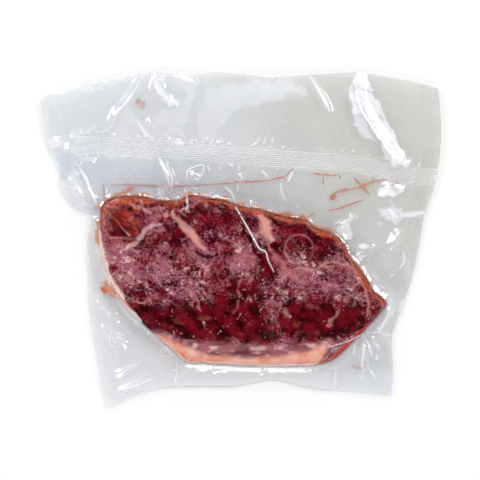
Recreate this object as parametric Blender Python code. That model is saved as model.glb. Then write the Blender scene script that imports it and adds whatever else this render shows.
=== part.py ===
"""A thick slice of raw beef, vacuum-packed flat in a clear pouch.

The pouch is two plies of clear film, 200 mm wide, with a long empty header, a ribbed
seal band across it, and one steak held tight below the band. It lies flat on its
steak: +X runs along the steak, +Y up to the header, +Z up through the thickness.
Sizes in the outlines and tables below are millimetres, and MM turns them into metres.
"""

import math

import bmesh
import bpy
import numpy as np
from mathutils import Vector
from mathutils.geometry import delaunay_2d_cdt

MM = 0.001

# Driving dimensions, in millimetres
STEAK_THICKNESS = 19.5
TIP_THICKNESS = 15.0
FILM_PLIES = 0.9
MARGIN_CLEARANCE = 0.9
MARGIN_RISE = 0.05
HEADER_WAVE = 0.9
RIM_ROUNDING = 1.6
RIM_REACH = 3.2
CORNER_FILLET = 1.5
FILLET_REACH = 2.4
BASE_INSET = 5.0
SEAL_HALF_WIDTH = 4.3
SEAL_RIBS = 9
SEAL_RIB_HEIGHT = 0.22
EDGE_STEP = 4.5
STEAK_STEP = 4.0
SEAL_STEP = 5.0
SEAL_END_FADE = 4.0
SIDE_RINGS = (0.16, 0.5)
FILL_STEP = 5.8
FOLD_ROWS = (-1.7, -0.8, 0.0, 0.8, 1.7)
FOLD_STEP = 2.4
LEAST_FOLD_GAP = 1.1
LEAST_FILL_GAP = 3.6
FINE_STEP = 0.2
PATH_STEP = 2.0

# Where the steak thins towards its tip, and its crowned face
TIP_START = 25.0
TIP_RUN = 45.0
FACE_CENTRE = (-5.0, -17.0)
FACE_HALF_SPANS = (68.0, 36.0)
FACE_FALLS = (1.2, 1.0)

# The header's long wave along the pouch
WAVE_RUN = 21.0
WAVE_START = 0.8
WAVE_REACH = 60.0

# Folds die away in the seal band, whose own edge is soft
SEAL_FLATTENING = 0.85
SEAL_EDGE = 0.4
SEAL_FLANK = 0.8
FOLD_FADE = 0.04
SHARP_ANGLE = 50.0

# Clear gaps between the groups of plan points
RING_OUTSIDE = 1.9
RING_ON_FACE = 3.2
SEAL_TO_OUTLINE = 1.2
FOLD_TO_OUTLINE = 1.4
FOLD_TO_STEAK = 3.2
FOLD_TO_SEAL = 1.6
FILL_TO_OUTLINE = 2.6
FILL_TO_SEAL = 2.0
FILL_TO_RINGS = (1.0, 1.5)

# The pouch's four edges, each a smooth curve through a few points, counter-clockwise
RIGHT_EDGE = [(75.7, -77.7), (76.4, -65.9), (75.7, -53.4), (76.2, -47.0), (78.7, -40.0),
              (82.9, -28.5), (86.9, -15.0), (89.7, -1.0), (91.2, 9.0), (92.2, 14.0),
              (95.1, 21.0), (97.9, 32.5), (99.6, 45.0), (99.9, 57.4), (98.6, 75.2)]
TOP_EDGE = [(98.6, 75.2), (94.6, 76.6), (83.7, 79.4), (69.7, 81.9), (57.2, 83.4),
            (34.7, 82.2), (15.7, 80.9), (-7.7, 83.2), (-25.2, 82.9), (-45.2, 83.6),
            (-57.7, 81.4), (-70.2, 78.7), (-80.2, 75.9), (-89.2, 72.8), (-94.4, 72.6),
            (-99.9, 69.4)]
LEFT_EDGE = [(-99.9, 69.4), (-98.4, 60.9), (-96.9, 52.9), (-94.2, 45.0), (-90.9, 36.0),
             (-89.9, 28.0), (-87.2, 21.0), (-82.7, 16.0), (-78.2, 14.3), (-74.6, 13.3),
             (-74.6, 8.0), (-76.7, 0.0), (-76.2, -11.0), (-75.9, -25.0), (-74.7, -40.0),
             (-71.7, -54.9), (-68.7, -72.4), (-66.2, -83.6)]
BOTTOM_EDGE = [(-66.2, -83.6), (-60.2, -79.7), (-50.2, -76.2), (-37.7, -73.9),
               (-20.2, -73.1), (-5.2, -73.1), (5.7, -71.3), (14.7, -69.9), (22.2, -70.7),
               (32.2, -73.2), (44.7, -75.0), (59.7, -76.0), (75.7, -77.7)]

# Where the steak's side meets the flat film, and the rim of its upper face, clockwise
STEAK_FOOT = [(-68.9, 16.3), (-65.5, 19.8), (-59.5, 21.3), (-50.5, 21.5), (-41.4, 20.0),
              (-34.4, 19.3), (-28.9, 20.1), (-24.9, 22.0), (-17.3, 20.9), (-8.3, 19.7),
              (-0.3, 16.8), (8.8, 15.2), (16.8, 13.0), (25.4, 10.9), (31.9, 9.8),
              (36.9, 6.0), (45.9, 3.0), (51.0, -2.3), (54.0, -8.3), (58.5, -13.8),
              (62.5, -19.6), (66.5, -26.1), (72.6, -31.4), (70.5, -35.7), (64.0, -42.9),
              (58.5, -48.5), (48.0, -58.7), (40.9, -61.6), (29.9, -62.6), (14.8, -62.6),
              (-0.3, -62.3), (-17.8, -61.3), (-27.1, -60.5), (-34.9, -53.7),
              (-42.4, -47.3), (-50.5, -39.9), (-57.5, -33.1), (-62.0, -26.1),
              (-66.0, -20.1), (-68.5, -11.0), (-69.8, -3.0), (-70.5, 3.0), (-69.5, 11.0)]
STEAK_RIM = [(-65.0, 15.1), (-62.1, 17.8), (-57.2, 19.2), (-49.0, 19.2), (-40.2, 18.0),
             (-33.4, 17.3), (-27.5, 18.0), (-23.6, 19.6), (-17.3, 18.9), (-9.0, 17.5),
             (-1.2, 14.6), (7.6, 13.2), (15.3, 11.0), (24.1, 9.0), (30.4, 7.6),
             (34.8, 4.1), (43.6, 1.2), (48.0, -3.4), (50.9, -8.8), (55.3, -14.6),
             (58.7, -20.0), (62.6, -26.3), (67.5, -30.7), (64.5, -35.1), (58.7, -40.9),
             (51.9, -45.8), (43.6, -49.2), (33.9, -50.9), (19.2, -52.1), (2.2, -52.6),
             (-12.4, -52.1), (-23.6, -50.2), (-33.4, -46.3), (-41.6, -41.6),
             (-50.4, -34.6), (-55.3, -29.7), (-59.2, -23.4), (-62.6, -17.0),
             (-64.5, -9.7), (-65.8, -1.9), (-66.2, 5.8)]

# Centre line of the ribbed seal band, left to right
SEAL_LINE = [(-85.7, 48.4), (-70.2, 47.5), (-45.2, 45.8), (-20.2, 44.0), (4.7, 41.5),
             (44.7, 39.2), (64.7, 36.5), (84.7, 32.0), (96.6, 31.3)]

# Folds in the film: route, half-width, height
FOLDS = [
    ([(-48.9, 81.5), (-51.6, 76.3), (-56.6, 68.6), (-61.1, 63.8), (-65.6, 55.6)], 2.2, 1.3),
    ([(-40.1, 81.5), (-41.1, 75.8), (-38.6, 70.8), (-32.2, 67.3)], 2.6, 1.4),
    ([(35.2, 80.0), (39.6, 72.8), (44.6, 63.8)], 1.6, 1.0),
    ([(57.5, 82.0), (57.0, 72.0), (60.5, 63.0), (67.0, 53.0), (73.0, 44.0), (80.5, 37.5)],
     3.4, 2.4),
    ([(-33.2, 81.8), (-22.2, 77.5)], 1.2, 0.7),
    ([(-94.1, 50.4), (-87.2, 48.9), (-77.2, 53.9)], 2.2, 1.1),
    ([(-82.3, 35.0), (-76.3, 25.5), (-71.3, 17.0)], 1.8, 1.3),
    ([(-86.3, 32.0), (-81.3, 24.5), (-76.8, 18.0)], 1.8, 1.1),
    ([(-83.8, 42.6), (-76.3, 40.5), (-71.8, 34.0)], 2.0, 1.0),
    ([(-45.2, 61.4), (-43.2, 53.4)], 1.8, 0.8),
    ([(-41.2, 40.0), (-37.2, 34.0), (-34.2, 25.0)], 2.2, 1.6),
    ([(-26.7, 38.0), (-25.2, 31.5), (-21.2, 29.5), (-18.2, 35.0)], 1.8, 1.1),
    ([(3.0, 35.5), (1.5, 28.0), (3.0, 20.0)], 2.0, 1.0),
    ([(66.7, 24.0), (74.0, 25.6), (83.2, 25.5)], 2.4, 1.5),
    ([(66.7, 8.0), (74.0, 11.5), (81.2, 16.0)], 2.4, 1.4),
    ([(74.7, -5.5), (77.2, 0.0), (79.7, 5.5)], 2.2, 1.3),
    ([(49.7, 6.0), (53.0, 9.0), (58.7, 12.0)], 2.2, 1.4),
    ([(56.2, -4.5), (62.2, -5.0), (68.0, -3.0)], 2.2, 1.3),
    ([(-72.6, -30.1), (-66.4, -34.1), (-59.4, -41.1)], 1.9, 1.2),
    ([(-70.4, -42.1), (-64.4, -47.1), (-55.4, -53.6)], 1.9, 1.2),
    ([(-63.4, -67.7), (-56.4, -64.2), (-49.4, -60.1)], 1.5, 0.9),
    ([(-61.4, -73.2), (-53.4, -70.7), (-44.4, -67.2)], 1.5, 0.8),
    ([(-31.8, -63.6), (-32.6, -67.6), (-33.3, -71.2)], 1.6, 0.9),
    ([(61.4, -51.6), (61.6, -58.6), (61.9, -66.7)], 1.8, 1.5),
    ([(63.9, -48.6), (67.0, -53.6), (69.6, -60.1)], 1.8, 1.4),
    ([(75.4, -33.1), (72.4, -39.1), (68.4, -45.1)], 1.6, 1.2),
]

# Soft swells and hollows of the steak's upper face: centre, radii, height
MEAT_SWELLS = [
    (-52.0, 4.0, 9.0, 9.0, -2.2),
    (-42.0, -20.0, 18.0, 14.0, 0.9),
    (-14.0, -2.0, 12.0, 9.0, 0.8),
    (13.0, 1.0, 6.0, 12.0, 0.9),
    (4.0, -24.0, 16.0, 9.0, -0.9),
    (29.0, -6.5, 8.0, 8.0, -1.0),
    (34.0, -28.0, 16.0, 10.0, 0.8),
    (-22.0, -38.0, 14.0, 7.0, -0.7),
    (52.0, -30.0, 9.0, 7.0, -0.8),
]


def smooth_curve(points, step, closed=False):
    """Catmull-Rom curve through points, in steps of about the given length."""
    knots = np.array(points, dtype=float)
    if closed:
        padded = np.vstack([knots[-1], knots, knots[:2]])
    else:
        before = 2 * knots[0] - knots[1]
        after = 2 * knots[-1] - knots[-2]
        padded = np.vstack([before, knots, after])
    fine = []
    t = np.linspace(0.0, 1.0, 24, endpoint=False)[:, None]
    for a, b, c, d in zip(padded, padded[1:], padded[2:], padded[3:]):
        fine.append(0.5 * (2 * b + (c - a) * t + (2 * a - 5 * b + 4 * c - d) * t ** 2
                           + (3 * b - a - 3 * c + d) * t ** 3))
    fine.append(padded[-2][None, :])
    fine = np.vstack(fine)
    run = np.concatenate([[0.0], np.cumsum(np.hypot(*np.diff(fine, axis=0).T))])
    count = max(2, round(run[-1] / step))
    at = np.linspace(0.0, run[-1], count + 1)
    even = np.column_stack([np.interp(at, run, fine[:, 0]), np.interp(at, run, fine[:, 1])])
    return even[:-1] if closed else even


def nearest_on_path(places, path):
    """Distance from each place to a path, the share of its length, and the side."""
    best = np.full(len(places), np.inf)
    along = np.zeros(len(places))
    side = np.zeros(len(places))
    run = 0.0
    for a, b in zip(path, path[1:]):
        edge = b - a
        length = math.hypot(edge[0], edge[1])
        offset = places - a
        t = np.clip(offset @ edge / length ** 2, 0.0, 1.0)
        gap = np.hypot(*(offset - t[:, None] * edge).T)
        closer = gap < best
        best = np.where(closer, gap, best)
        along = np.where(closer, run + t * length, along)
        cross = edge[0] * offset[:, 1] - edge[1] * offset[:, 0]
        side = np.where(closer, np.sign(cross), side)
        run += length
    return best, along / run, side


def inside(places, loop):
    """True where a place lies inside a closed loop, by counting crossings."""
    crossings = np.zeros(len(places), dtype=int)
    x, y = places[:, 0], places[:, 1]
    for a, b in zip(loop, np.roll(loop, -1, axis=0)):
        spans = (a[1] > y) != (b[1] > y)
        rise = b[1] - a[1] if b[1] != a[1] else 1e-9
        meets = a[0] + (y - a[1]) * (b[0] - a[0]) / rise
        crossings += spans & (x < meets)
    return crossings % 2 == 1


def pouch_outline():
    """The pouch's whole outline: four smooth edges that meet in sharp corners."""
    edges = (RIGHT_EDGE, TOP_EDGE, LEFT_EDGE, BOTTOM_EDGE)
    return np.vstack([smooth_curve(edge, EDGE_STEP)[:-1] for edge in edges])


def closed_distance(places, loop):
    """Distance to a closed loop, positive inside it."""
    gap, _, _ = nearest_on_path(places, np.vstack([loop, loop[:1]]))
    return np.where(inside(places, loop), gap, -gap)


def seal_position(places):
    """How far each place is across the seal band (0 at its centre), and its weight."""
    centre = smooth_curve(SEAL_LINE, PATH_STEP)
    gap, along, side = nearest_on_path(places, centre)
    length = np.hypot(*np.diff(centre, axis=0).T).sum()
    from_end = length * np.minimum(along, 1.0 - along)
    weight = np.clip((SEAL_HALF_WIDTH + SEAL_EDGE - gap) / SEAL_EDGE, 0.0, 1.0)
    return gap * side, weight * np.clip(from_end / SEAL_END_FADE, 0.0, 1.0)


def fold_height(places):
    """Height that the folds add: each is a rounded ridge that fades out at its ends."""
    height = np.zeros(len(places))
    for route, half_width, rise in FOLDS:
        gap, along, _ = nearest_on_path(places, smooth_curve(route, PATH_STEP))
        fade = np.sin(math.pi * np.clip(along, FOLD_FADE, 1.0 - FOLD_FADE)) ** 0.6
        height += rise * fade * np.exp(-(gap / half_width) ** 2)
    return height


def meat_height(places, in_rim):
    """Upper face of the steak: thinner towards its right end, uneven, round at its rim."""
    x, y = places[:, 0], places[:, 1]
    towards_tip = np.clip((x - TIP_START) / TIP_RUN, 0.0, 1.0)
    height = STEAK_THICKNESS + (TIP_THICKNESS - STEAK_THICKNESS) * towards_tip ** 1.5
    for value, centre, span, fall in zip((x, y), FACE_CENTRE, FACE_HALF_SPANS, FACE_FALLS):
        height -= fall * ((value - centre) / span) ** 2
    height -= RIM_ROUNDING * np.exp(-np.clip(in_rim, 0.0, None) / RIM_REACH)
    for cx, cy, rx, ry, rise in MEAT_SWELLS:
        height += rise * np.exp(-((x - cx) / rx) ** 2 - ((y - cy) / ry) ** 2)
    return height


def film_faces(places, foot, rim):
    """Heights of the pouch's upper and lower faces at each place."""
    in_foot = closed_distance(places, foot)
    in_rim = closed_distance(places, rim)
    beyond = np.clip(-in_foot, 0.0, None)
    across, seal = seal_position(places)
    middle = MARGIN_CLEARANCE + FILM_PLIES / 2 + MARGIN_RISE * beyond
    wave = 1.0 + np.sin(places[:, 0] / WAVE_RUN + WAVE_START)
    middle += HEADER_WAVE * wave * np.clip(beyond / WAVE_REACH, 0.0, 1.0)
    middle += fold_height(places) * (1.0 - SEAL_FLATTENING * seal)
    rib = np.cos(math.pi * across * SEAL_RIBS / SEAL_HALF_WIDTH)
    middle += SEAL_RIB_HEIGHT * rib * seal
    middle += CORNER_FILLET * np.exp(-beyond / FILLET_REACH)
    from_foot = np.clip(in_foot, 0.0, None)
    climb = from_foot / (from_foot + np.clip(-in_rim, 0.0, None) + 1e-6)
    climb = np.sqrt(np.clip(1.0 - (1.0 - climb) ** 2, 0.0, 1.0))
    lowered = np.clip(in_foot / BASE_INSET, 0.0, 1.0)
    lowered = lowered * lowered * (3.0 - 2.0 * lowered)
    top = (middle + FILM_PLIES / 2) * (1.0 - climb) + meat_height(places, in_rim) * climb
    bottom = (middle - FILM_PLIES / 2) * (1.0 - lowered)
    return top, bottom


def offset_loop(loop, distance):
    """A loop moved inwards by a distance, as its corners allow."""
    ahead = np.roll(loop, -1, axis=0) - np.roll(loop, 1, axis=0)
    ahead /= np.linalg.norm(ahead, axis=1)[:, None]
    return loop + np.column_stack([ahead[:, 1], -ahead[:, 0]]) * distance


def nearest_points(places, loop):
    """For each place, the nearest point of a finely drawn closed loop."""
    gaps = np.linalg.norm(places[:, None, :] - loop[None, :, :], axis=2)
    return loop[gaps.argmin(axis=1)]


def steak_rings(foot, rim):
    """Closed rings up the steak's side, with one outside it and one on its face."""
    facing = nearest_points(foot, smooth_curve(STEAK_RIM, FINE_STEP, closed=True))
    rings = [offset_loop(foot, -RING_OUTSIDE), foot]
    for share in SIDE_RINGS:
        rings.append(foot + (facing - foot) * share)
    rings.append(rim)
    rings.append(offset_loop(rim, RING_ON_FACE))
    return rings


def seal_points():
    """A grid of points along the seal band: a row on each rib and in each groove."""
    centre = smooth_curve(SEAL_LINE, SEAL_STEP)
    ahead = np.gradient(centre, axis=0)
    ahead /= np.linalg.norm(ahead, axis=1)[:, None]
    normal = np.column_stack([-ahead[:, 1], ahead[:, 0]])
    rows = np.linspace(-SEAL_HALF_WIDTH, SEAL_HALF_WIDTH, 2 * SEAL_RIBS + 1)
    outer = SEAL_HALF_WIDTH + SEAL_FLANK
    rows = np.concatenate([[-outer], rows, [outer]])
    return np.vstack([centre + normal * row for row in rows])


def fold_points():
    """Points on each fold's crest and down both of its sides."""
    found = []
    for route, half_width, _ in FOLDS:
        crest = smooth_curve(route, max(FOLD_STEP, half_width * 1.3))
        ahead = np.gradient(crest, axis=0)
        ahead /= np.linalg.norm(ahead, axis=1)[:, None]
        normal = np.column_stack([-ahead[:, 1], ahead[:, 0]])
        for share in FOLD_ROWS:
            found.append(crest + normal * half_width * share)
    return np.vstack(found)


def fill_points(low, high):
    """An even triangular net of points over the whole pouch."""
    row_step = FILL_STEP * math.sqrt(3.0) / 2.0
    rows = np.arange(low[1], high[1], row_step)
    found = []
    for index, y in enumerate(rows):
        x = np.arange(low[0] + FILL_STEP * 0.5 * (index % 2), high[0], FILL_STEP)
        found.append(np.column_stack([x, np.full(len(x), y)]))
    return np.vstack(found)


def thin_out(places, kept, spacing):
    """Drop the places that are nearer than spacing to any kept one, or to each other."""
    chosen = list(kept)
    grid = {}
    for place in chosen:
        grid.setdefault(tuple((place // spacing).astype(int)), []).append(place)
    for place in places:
        cell = (place // spacing).astype(int)
        near = [other for dx in (-1, 0, 1) for dy in (-1, 0, 1)
                for other in grid.get((cell[0] + dx, cell[1] + dy), [])]
        if all(math.hypot(*(place - other)) >= spacing for other in near):
            grid.setdefault(tuple(cell), []).append(place)
            chosen.append(place)
    return np.array(chosen)


def plan_points(outline, rings):
    """Every point of the flat plan: outline, steak rings, seal band, folds, then fill."""
    centre = smooth_curve(SEAL_LINE, PATH_STEP)
    foot = rings[1]
    seal = seal_points()
    seal = seal[closed_distance(seal, outline) > SEAL_TO_OUTLINE]
    folds = fold_points()
    folds = folds[closed_distance(folds, outline) > FOLD_TO_OUTLINE]
    folds = folds[closed_distance(folds, foot) < -FOLD_TO_STEAK]
    folds = folds[nearest_on_path(folds, centre)[0] > SEAL_HALF_WIDTH + FOLD_TO_SEAL]
    fill = fill_points(outline.min(axis=0), outline.max(axis=0))
    fill = fill[closed_distance(fill, outline) > FILL_TO_OUTLINE]
    fill = fill[nearest_on_path(fill, centre)[0] > SEAL_HALF_WIDTH + FILL_TO_SEAL]
    on_side = closed_distance(fill, rings[0]) > -FILL_TO_RINGS[0]
    on_side &= closed_distance(fill, rings[-1]) < FILL_TO_RINGS[1]
    kept = np.vstack([outline, *rings, seal])
    places = thin_out(folds, kept, LEAST_FOLD_GAP)
    return thin_out(fill[~on_side], places, LEAST_FILL_GAP)


def flat_plan(outline, rings):
    """Triangulate the plan, keeping its outline and the steak's rings as edges."""
    points = [Vector(place) for place in plan_points(outline, rings)]
    border = list(range(len(outline)))
    ring_edges = []
    first = len(outline)
    for ring in rings:
        count = len(ring)
        ring_edges += [(first + i, first + (i + 1) % count) for i in range(count)]
        first += count
    result = delaunay_2d_cdt(points, ring_edges, [border], 1, 1e-4)
    plan = bmesh.new()
    verts = [plan.verts.new((p.x * MM, p.y * MM, 0.0)) for p in result[0]]
    for face in result[2]:
        plan.faces.new([verts[i] for i in face])
    loose = [v for v in plan.verts if not v.link_faces]
    bmesh.ops.delete(plan, geom=loose, context="VERTS")
    bmesh.ops.recalc_face_normals(plan, faces=plan.faces)
    return plan


def raise_faces(plan, foot, rim):
    """Turn the flat plan into a closed body by giving it its two faces' heights."""
    lower = list(plan.verts)
    grown = bmesh.ops.extrude_face_region(plan, geom=list(plan.faces))
    upper = [item for item in grown["geom"] if isinstance(item, bmesh.types.BMVert)]
    for verts, pick in ((lower, 1), (upper, 0)):
        places = np.array([(v.co.x / MM, v.co.y / MM) for v in verts])
        heights = film_faces(places, foot, rim)[pick]
        for vert, height in zip(verts, heights):
            vert.co.z = height * MM
    base = [face for face in plan.faces if all(abs(v.co.z) < 1e-7 for v in face.verts)]
    bmesh.ops.dissolve_faces(plan, faces=base, use_verts=True)
    bmesh.ops.recalc_face_normals(plan, faces=plan.faces)


def film_material():
    """Clear film, slightly grey where its two plies lie together."""
    material = bpy.data.materials.new("clear_film")
    material.use_nodes = True
    shader = material.node_tree.nodes["Principled BSDF"]
    shader.inputs["Base Color"].default_value = (0.73, 0.75, 0.76, 1.0)
    shader.inputs["Roughness"].default_value = 0.12
    shader.inputs["Metallic"].default_value = 0.0
    return material


def meat_material():
    """Wet raw beef seen through the film that clings to it."""
    material = bpy.data.materials.new("raw_meat_under_film")
    material.use_nodes = True
    shader = material.node_tree.nodes["Principled BSDF"]
    shader.inputs["Base Color"].default_value = (0.22, 0.045, 0.055, 1.0)
    shader.inputs["Roughness"].default_value = 0.18
    shader.inputs["Metallic"].default_value = 0.0
    return material


def build_pack():
    """The sealed pack as one closed body, with film and meat as its two finishes."""
    outline = pouch_outline()
    foot = smooth_curve(STEAK_FOOT, STEAK_STEP, closed=True)
    rim = smooth_curve(STEAK_RIM, STEAK_STEP, closed=True)
    plan = flat_plan(outline, steak_rings(foot, rim))
    raise_faces(plan, foot, rim)
    mesh = bpy.data.meshes.new("sealed_steak_pack")
    plan.to_mesh(mesh)
    plan.free()
    mesh.materials.append(film_material())
    mesh.materials.append(meat_material())
    centres = np.array([(p.center.x / MM, p.center.y / MM) for p in mesh.polygons])
    on_steak = inside(centres, foot)
    for polygon, meat in zip(mesh.polygons, on_steak):
        polygon.material_index = int(meat)
    mesh.shade_smooth()
    mesh.set_sharp_from_angle(angle=math.radians(SHARP_ANGLE))
    pack = bpy.data.objects.new("sealed_steak_pack", mesh)
    collection = bpy.data.collections.new("vacuum_packed_steak")
    bpy.context.scene.collection.children.link(collection)
    collection.objects.link(pack)
    return pack


for stray in list(bpy.data.objects):
    bpy.data.objects.remove(stray)

build_pack()
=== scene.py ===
# %% [markdown]
# # A raw steak in a clear vacuum pouch
# The real object is a slab of wet beef between two plies of clear film. The film is
# sealed down both sides and across the top by a ribbed band, and the air is drawn out,
# so it clings to the meat and creases everywhere else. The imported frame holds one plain
# solid for all of it, and this lesson replaces that solid with film, meat and juice.

# %% Load the frame and keep its box
import math

import bpy
import numpy as np
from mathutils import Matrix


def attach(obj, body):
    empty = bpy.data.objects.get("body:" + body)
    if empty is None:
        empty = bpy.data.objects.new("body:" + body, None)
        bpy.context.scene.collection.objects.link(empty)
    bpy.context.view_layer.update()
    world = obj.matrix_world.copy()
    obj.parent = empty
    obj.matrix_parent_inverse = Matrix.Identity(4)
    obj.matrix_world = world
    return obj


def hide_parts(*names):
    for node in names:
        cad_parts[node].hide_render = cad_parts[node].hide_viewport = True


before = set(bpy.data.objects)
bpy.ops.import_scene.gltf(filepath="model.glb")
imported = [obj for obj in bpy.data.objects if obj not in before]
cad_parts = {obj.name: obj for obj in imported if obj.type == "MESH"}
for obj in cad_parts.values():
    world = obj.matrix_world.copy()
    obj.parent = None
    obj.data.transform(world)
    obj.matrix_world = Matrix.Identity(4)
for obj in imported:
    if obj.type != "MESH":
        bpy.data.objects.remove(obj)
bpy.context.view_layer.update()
PACK = "sealed_steak_pack"
BODY = "root"
MM = 0.001

# %% [markdown]
# ## The outlines
# A pouch that was drawn tight has no straight edge left. Each edge is a smooth curve
# through a few measured points in millimetres, and so are the foot of the steak's side
# and the rim of its upper face. They are the same named curves that the solid uses.

# %% Outline points in millimetres
RIGHT_EDGE = [(75.7, -77.7), (76.4, -65.9), (75.7, -53.4), (76.2, -47), (78.7, -40),
    (82.9, -28.5), (86.9, -15), (89.7, -1), (91.2, 9), (92.2, 14), (95.1, 21), (97.9, 32.5),
    (99.6, 45), (99.9, 57.4), (98.6, 75.2)]
TOP_EDGE = [(98.6, 75.2), (94.6, 76.6), (83.7, 79.4), (69.7, 81.9), (57.2, 83.4), (34.7, 82.2),
    (15.7, 80.9), (-7.7, 83.2), (-25.2, 82.9), (-45.2, 83.6), (-57.7, 81.4), (-70.2, 78.7),
    (-80.2, 75.9), (-89.2, 72.8), (-94.4, 72.6), (-99.9, 69.4)]
LEFT_EDGE = [(-99.9, 69.4), (-98.4, 60.9), (-96.9, 52.9), (-94.2, 45), (-90.9, 36), (-89.9, 28),
    (-87.2, 21), (-82.7, 16), (-78.2, 14.3), (-74.6, 13.3), (-74.6, 8), (-76.7, 0), (-76.2, -11),
    (-75.9, -25), (-74.7, -40), (-71.7, -54.9), (-68.7, -72.4), (-66.2, -83.6)]
BOTTOM_EDGE = [(-66.2, -83.6), (-60.2, -79.7), (-50.2, -76.2), (-37.7, -73.9), (-20.2, -73.1),
    (-5.2, -73.1), (5.7, -71.3), (14.7, -69.9), (22.2, -70.7), (32.2, -73.2), (44.7, -75),
    (59.7, -76), (75.7, -77.7)]
STEAK_FOOT = [(-68.9, 16.3), (-65.5, 19.8), (-59.5, 21.3), (-50.5, 21.5), (-41.4, 20),
    (-34.4, 19.3), (-28.9, 20.1), (-24.9, 22), (-17.3, 20.9), (-8.3, 19.7), (-0.3, 16.8),
    (8.8, 15.2), (16.8, 13), (25.4, 10.9), (31.9, 9.8), (36.9, 6), (45.9, 3), (51, -2.3),
    (54, -8.3), (58.5, -13.8), (62.5, -19.6), (66.5, -26.1), (72.6, -31.4), (70.5, -35.7),
    (64, -42.9), (58.5, -48.5), (48, -58.7), (40.9, -61.6), (29.9, -62.6), (14.8, -62.6),
    (-0.3, -62.3), (-17.8, -61.3), (-27.1, -60.5), (-34.9, -53.7), (-42.4, -47.3), (-50.5, -39.9),
    (-57.5, -33.1), (-62, -26.1), (-66, -20.1), (-68.5, -11), (-69.8, -3), (-70.5, 3),
    (-69.5, 11)]
STEAK_RIM = [(-65, 15.1), (-62.1, 17.8), (-57.2, 19.2), (-49, 19.2), (-40.2, 18), (-33.4, 17.3),
    (-27.5, 18), (-23.6, 19.6), (-17.3, 18.9), (-9, 17.5), (-1.2, 14.6), (7.6, 13.2), (15.3, 11),
    (24.1, 9), (30.4, 7.6), (34.8, 4.1), (43.6, 1.2), (48, -3.4), (50.9, -8.8), (55.3, -14.6),
    (58.7, -20), (62.6, -26.3), (67.5, -30.7), (64.5, -35.1), (58.7, -40.9), (51.9, -45.8),
    (43.6, -49.2), (33.9, -50.9), (19.2, -52.1), (2.2, -52.6), (-12.4, -52.1), (-23.6, -50.2),
    (-33.4, -46.3), (-41.6, -41.6), (-50.4, -34.6), (-55.3, -29.7), (-59.2, -23.4), (-62.6, -17),
    (-64.5, -9.7), (-65.8, -1.9), (-66.2, 5.8)]
SEAL_LINE = [(-85.7, 48.4), (-70.2, 47.5), (-45.2, 45.8), (-20.2, 44), (4.7, 41.5), (44.7, 39.2),
    (64.7, 36.5), (84.7, 32), (96.6, 31.3)]


# %% Curves
def resample(path, count):
    """The same path in a given number of points, evenly along its length."""
    run = np.concatenate([[0.0], np.cumsum(np.hypot(*np.diff(path, axis=0).T))])
    at = np.linspace(0.0, run[-1], count)
    return np.column_stack([np.interp(at, run, path[:, k]) for k in (0, 1)])


def smooth_curve(points, step, closed=False):
    """Catmull-Rom curve: each span is the cubic that leaves a point parallel to the
    line between its neighbours. The result is cut into even steps along its length."""
    knots = np.array(points, dtype=float)
    if closed:
        padded = np.vstack([knots[-1], knots, knots[:2]])
    else:
        padded = np.vstack([2 * knots[0] - knots[1], knots, 2 * knots[-1] - knots[-2]])
    t = np.linspace(0.0, 1.0, 24, endpoint=False)[:, None]
    fine = [0.5 * (2 * b + (c - a) * t + (2 * a - 5 * b + 4 * c - d) * t ** 2
                   + (3 * b - a - 3 * c + d) * t ** 3)
            for a, b, c, d in zip(padded, padded[1:], padded[2:], padded[3:])]
    fine = np.vstack(fine + [padded[-2][None, :]])
    length = np.hypot(*np.diff(fine, axis=0).T).sum()
    even = resample(fine, max(2, round(length / step)) + 1)
    return even[:-1] if closed else even


def left_of(ahead):
    """Unit vectors to the left of the directions given, for moving a path sideways."""
    ahead = ahead / np.linalg.norm(ahead, axis=1)[:, None]
    return np.column_stack([-ahead[:, 1], ahead[:, 0]])


# %% Distances to a path or a loop
def nearest_on_path(places, path):
    """For each place: the least distance to the path's straight pieces, the share of
    the path's length where that is, and which side the place is on."""
    best = np.full(len(places), np.inf)
    along = np.zeros(len(places))
    side = np.zeros(len(places))
    run = 0.0
    for a, b in zip(path, path[1:]):
        edge = b - a
        length = math.hypot(edge[0], edge[1])
        offset = places - a
        t = np.clip(offset @ edge / length ** 2, 0.0, 1.0)
        gap = np.hypot(*(offset - t[:, None] * edge).T)
        closer = gap < best
        best = np.where(closer, gap, best)
        along = np.where(closer, run + t * length, along)
        cross = edge[0] * offset[:, 1] - edge[1] * offset[:, 0]
        side = np.where(closer, np.sign(cross), side)
        run += length
    return best, along / run, side


def inside(places, loop):
    """A place is inside a loop if a ray from it to the right crosses it an odd number
    of times."""
    crossings = np.zeros(len(places), dtype=int)
    x, y = places[:, 0], places[:, 1]
    for a, b in zip(loop, np.roll(loop, -1, axis=0)):
        spans = (a[1] > y) != (b[1] > y)
        rise = b[1] - a[1] if b[1] != a[1] else 1e-9
        crossings += spans & (x < a[0] + (y - a[1]) * (b[0] - a[0]) / rise)
    return crossings % 2 == 1


def closed_distance(places, loop):
    """Least distance to a closed loop, counted positive inside it."""
    gap, _, _ = nearest_on_path(places, np.vstack([loop, loop[:1]]))
    return np.where(inside(places, loop), gap, -gap)


# %% Soft steps and brush strokes
def ramp(value, low, high):
    """Smoothstep: 0 below low, 1 above high, and an S-curve between them."""
    t = np.clip((value - low) / (high - low), 0.0, 1.0)
    return t * t * (3.0 - 2.0 * t)


def near_box(places, path, reach):
    """True for places in the path's bounding box, grown by a reach on every side."""
    low = path.min(axis=0) - reach
    high = path.max(axis=0) + reach
    return np.all((places > low) & (places < high), axis=1)


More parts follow.
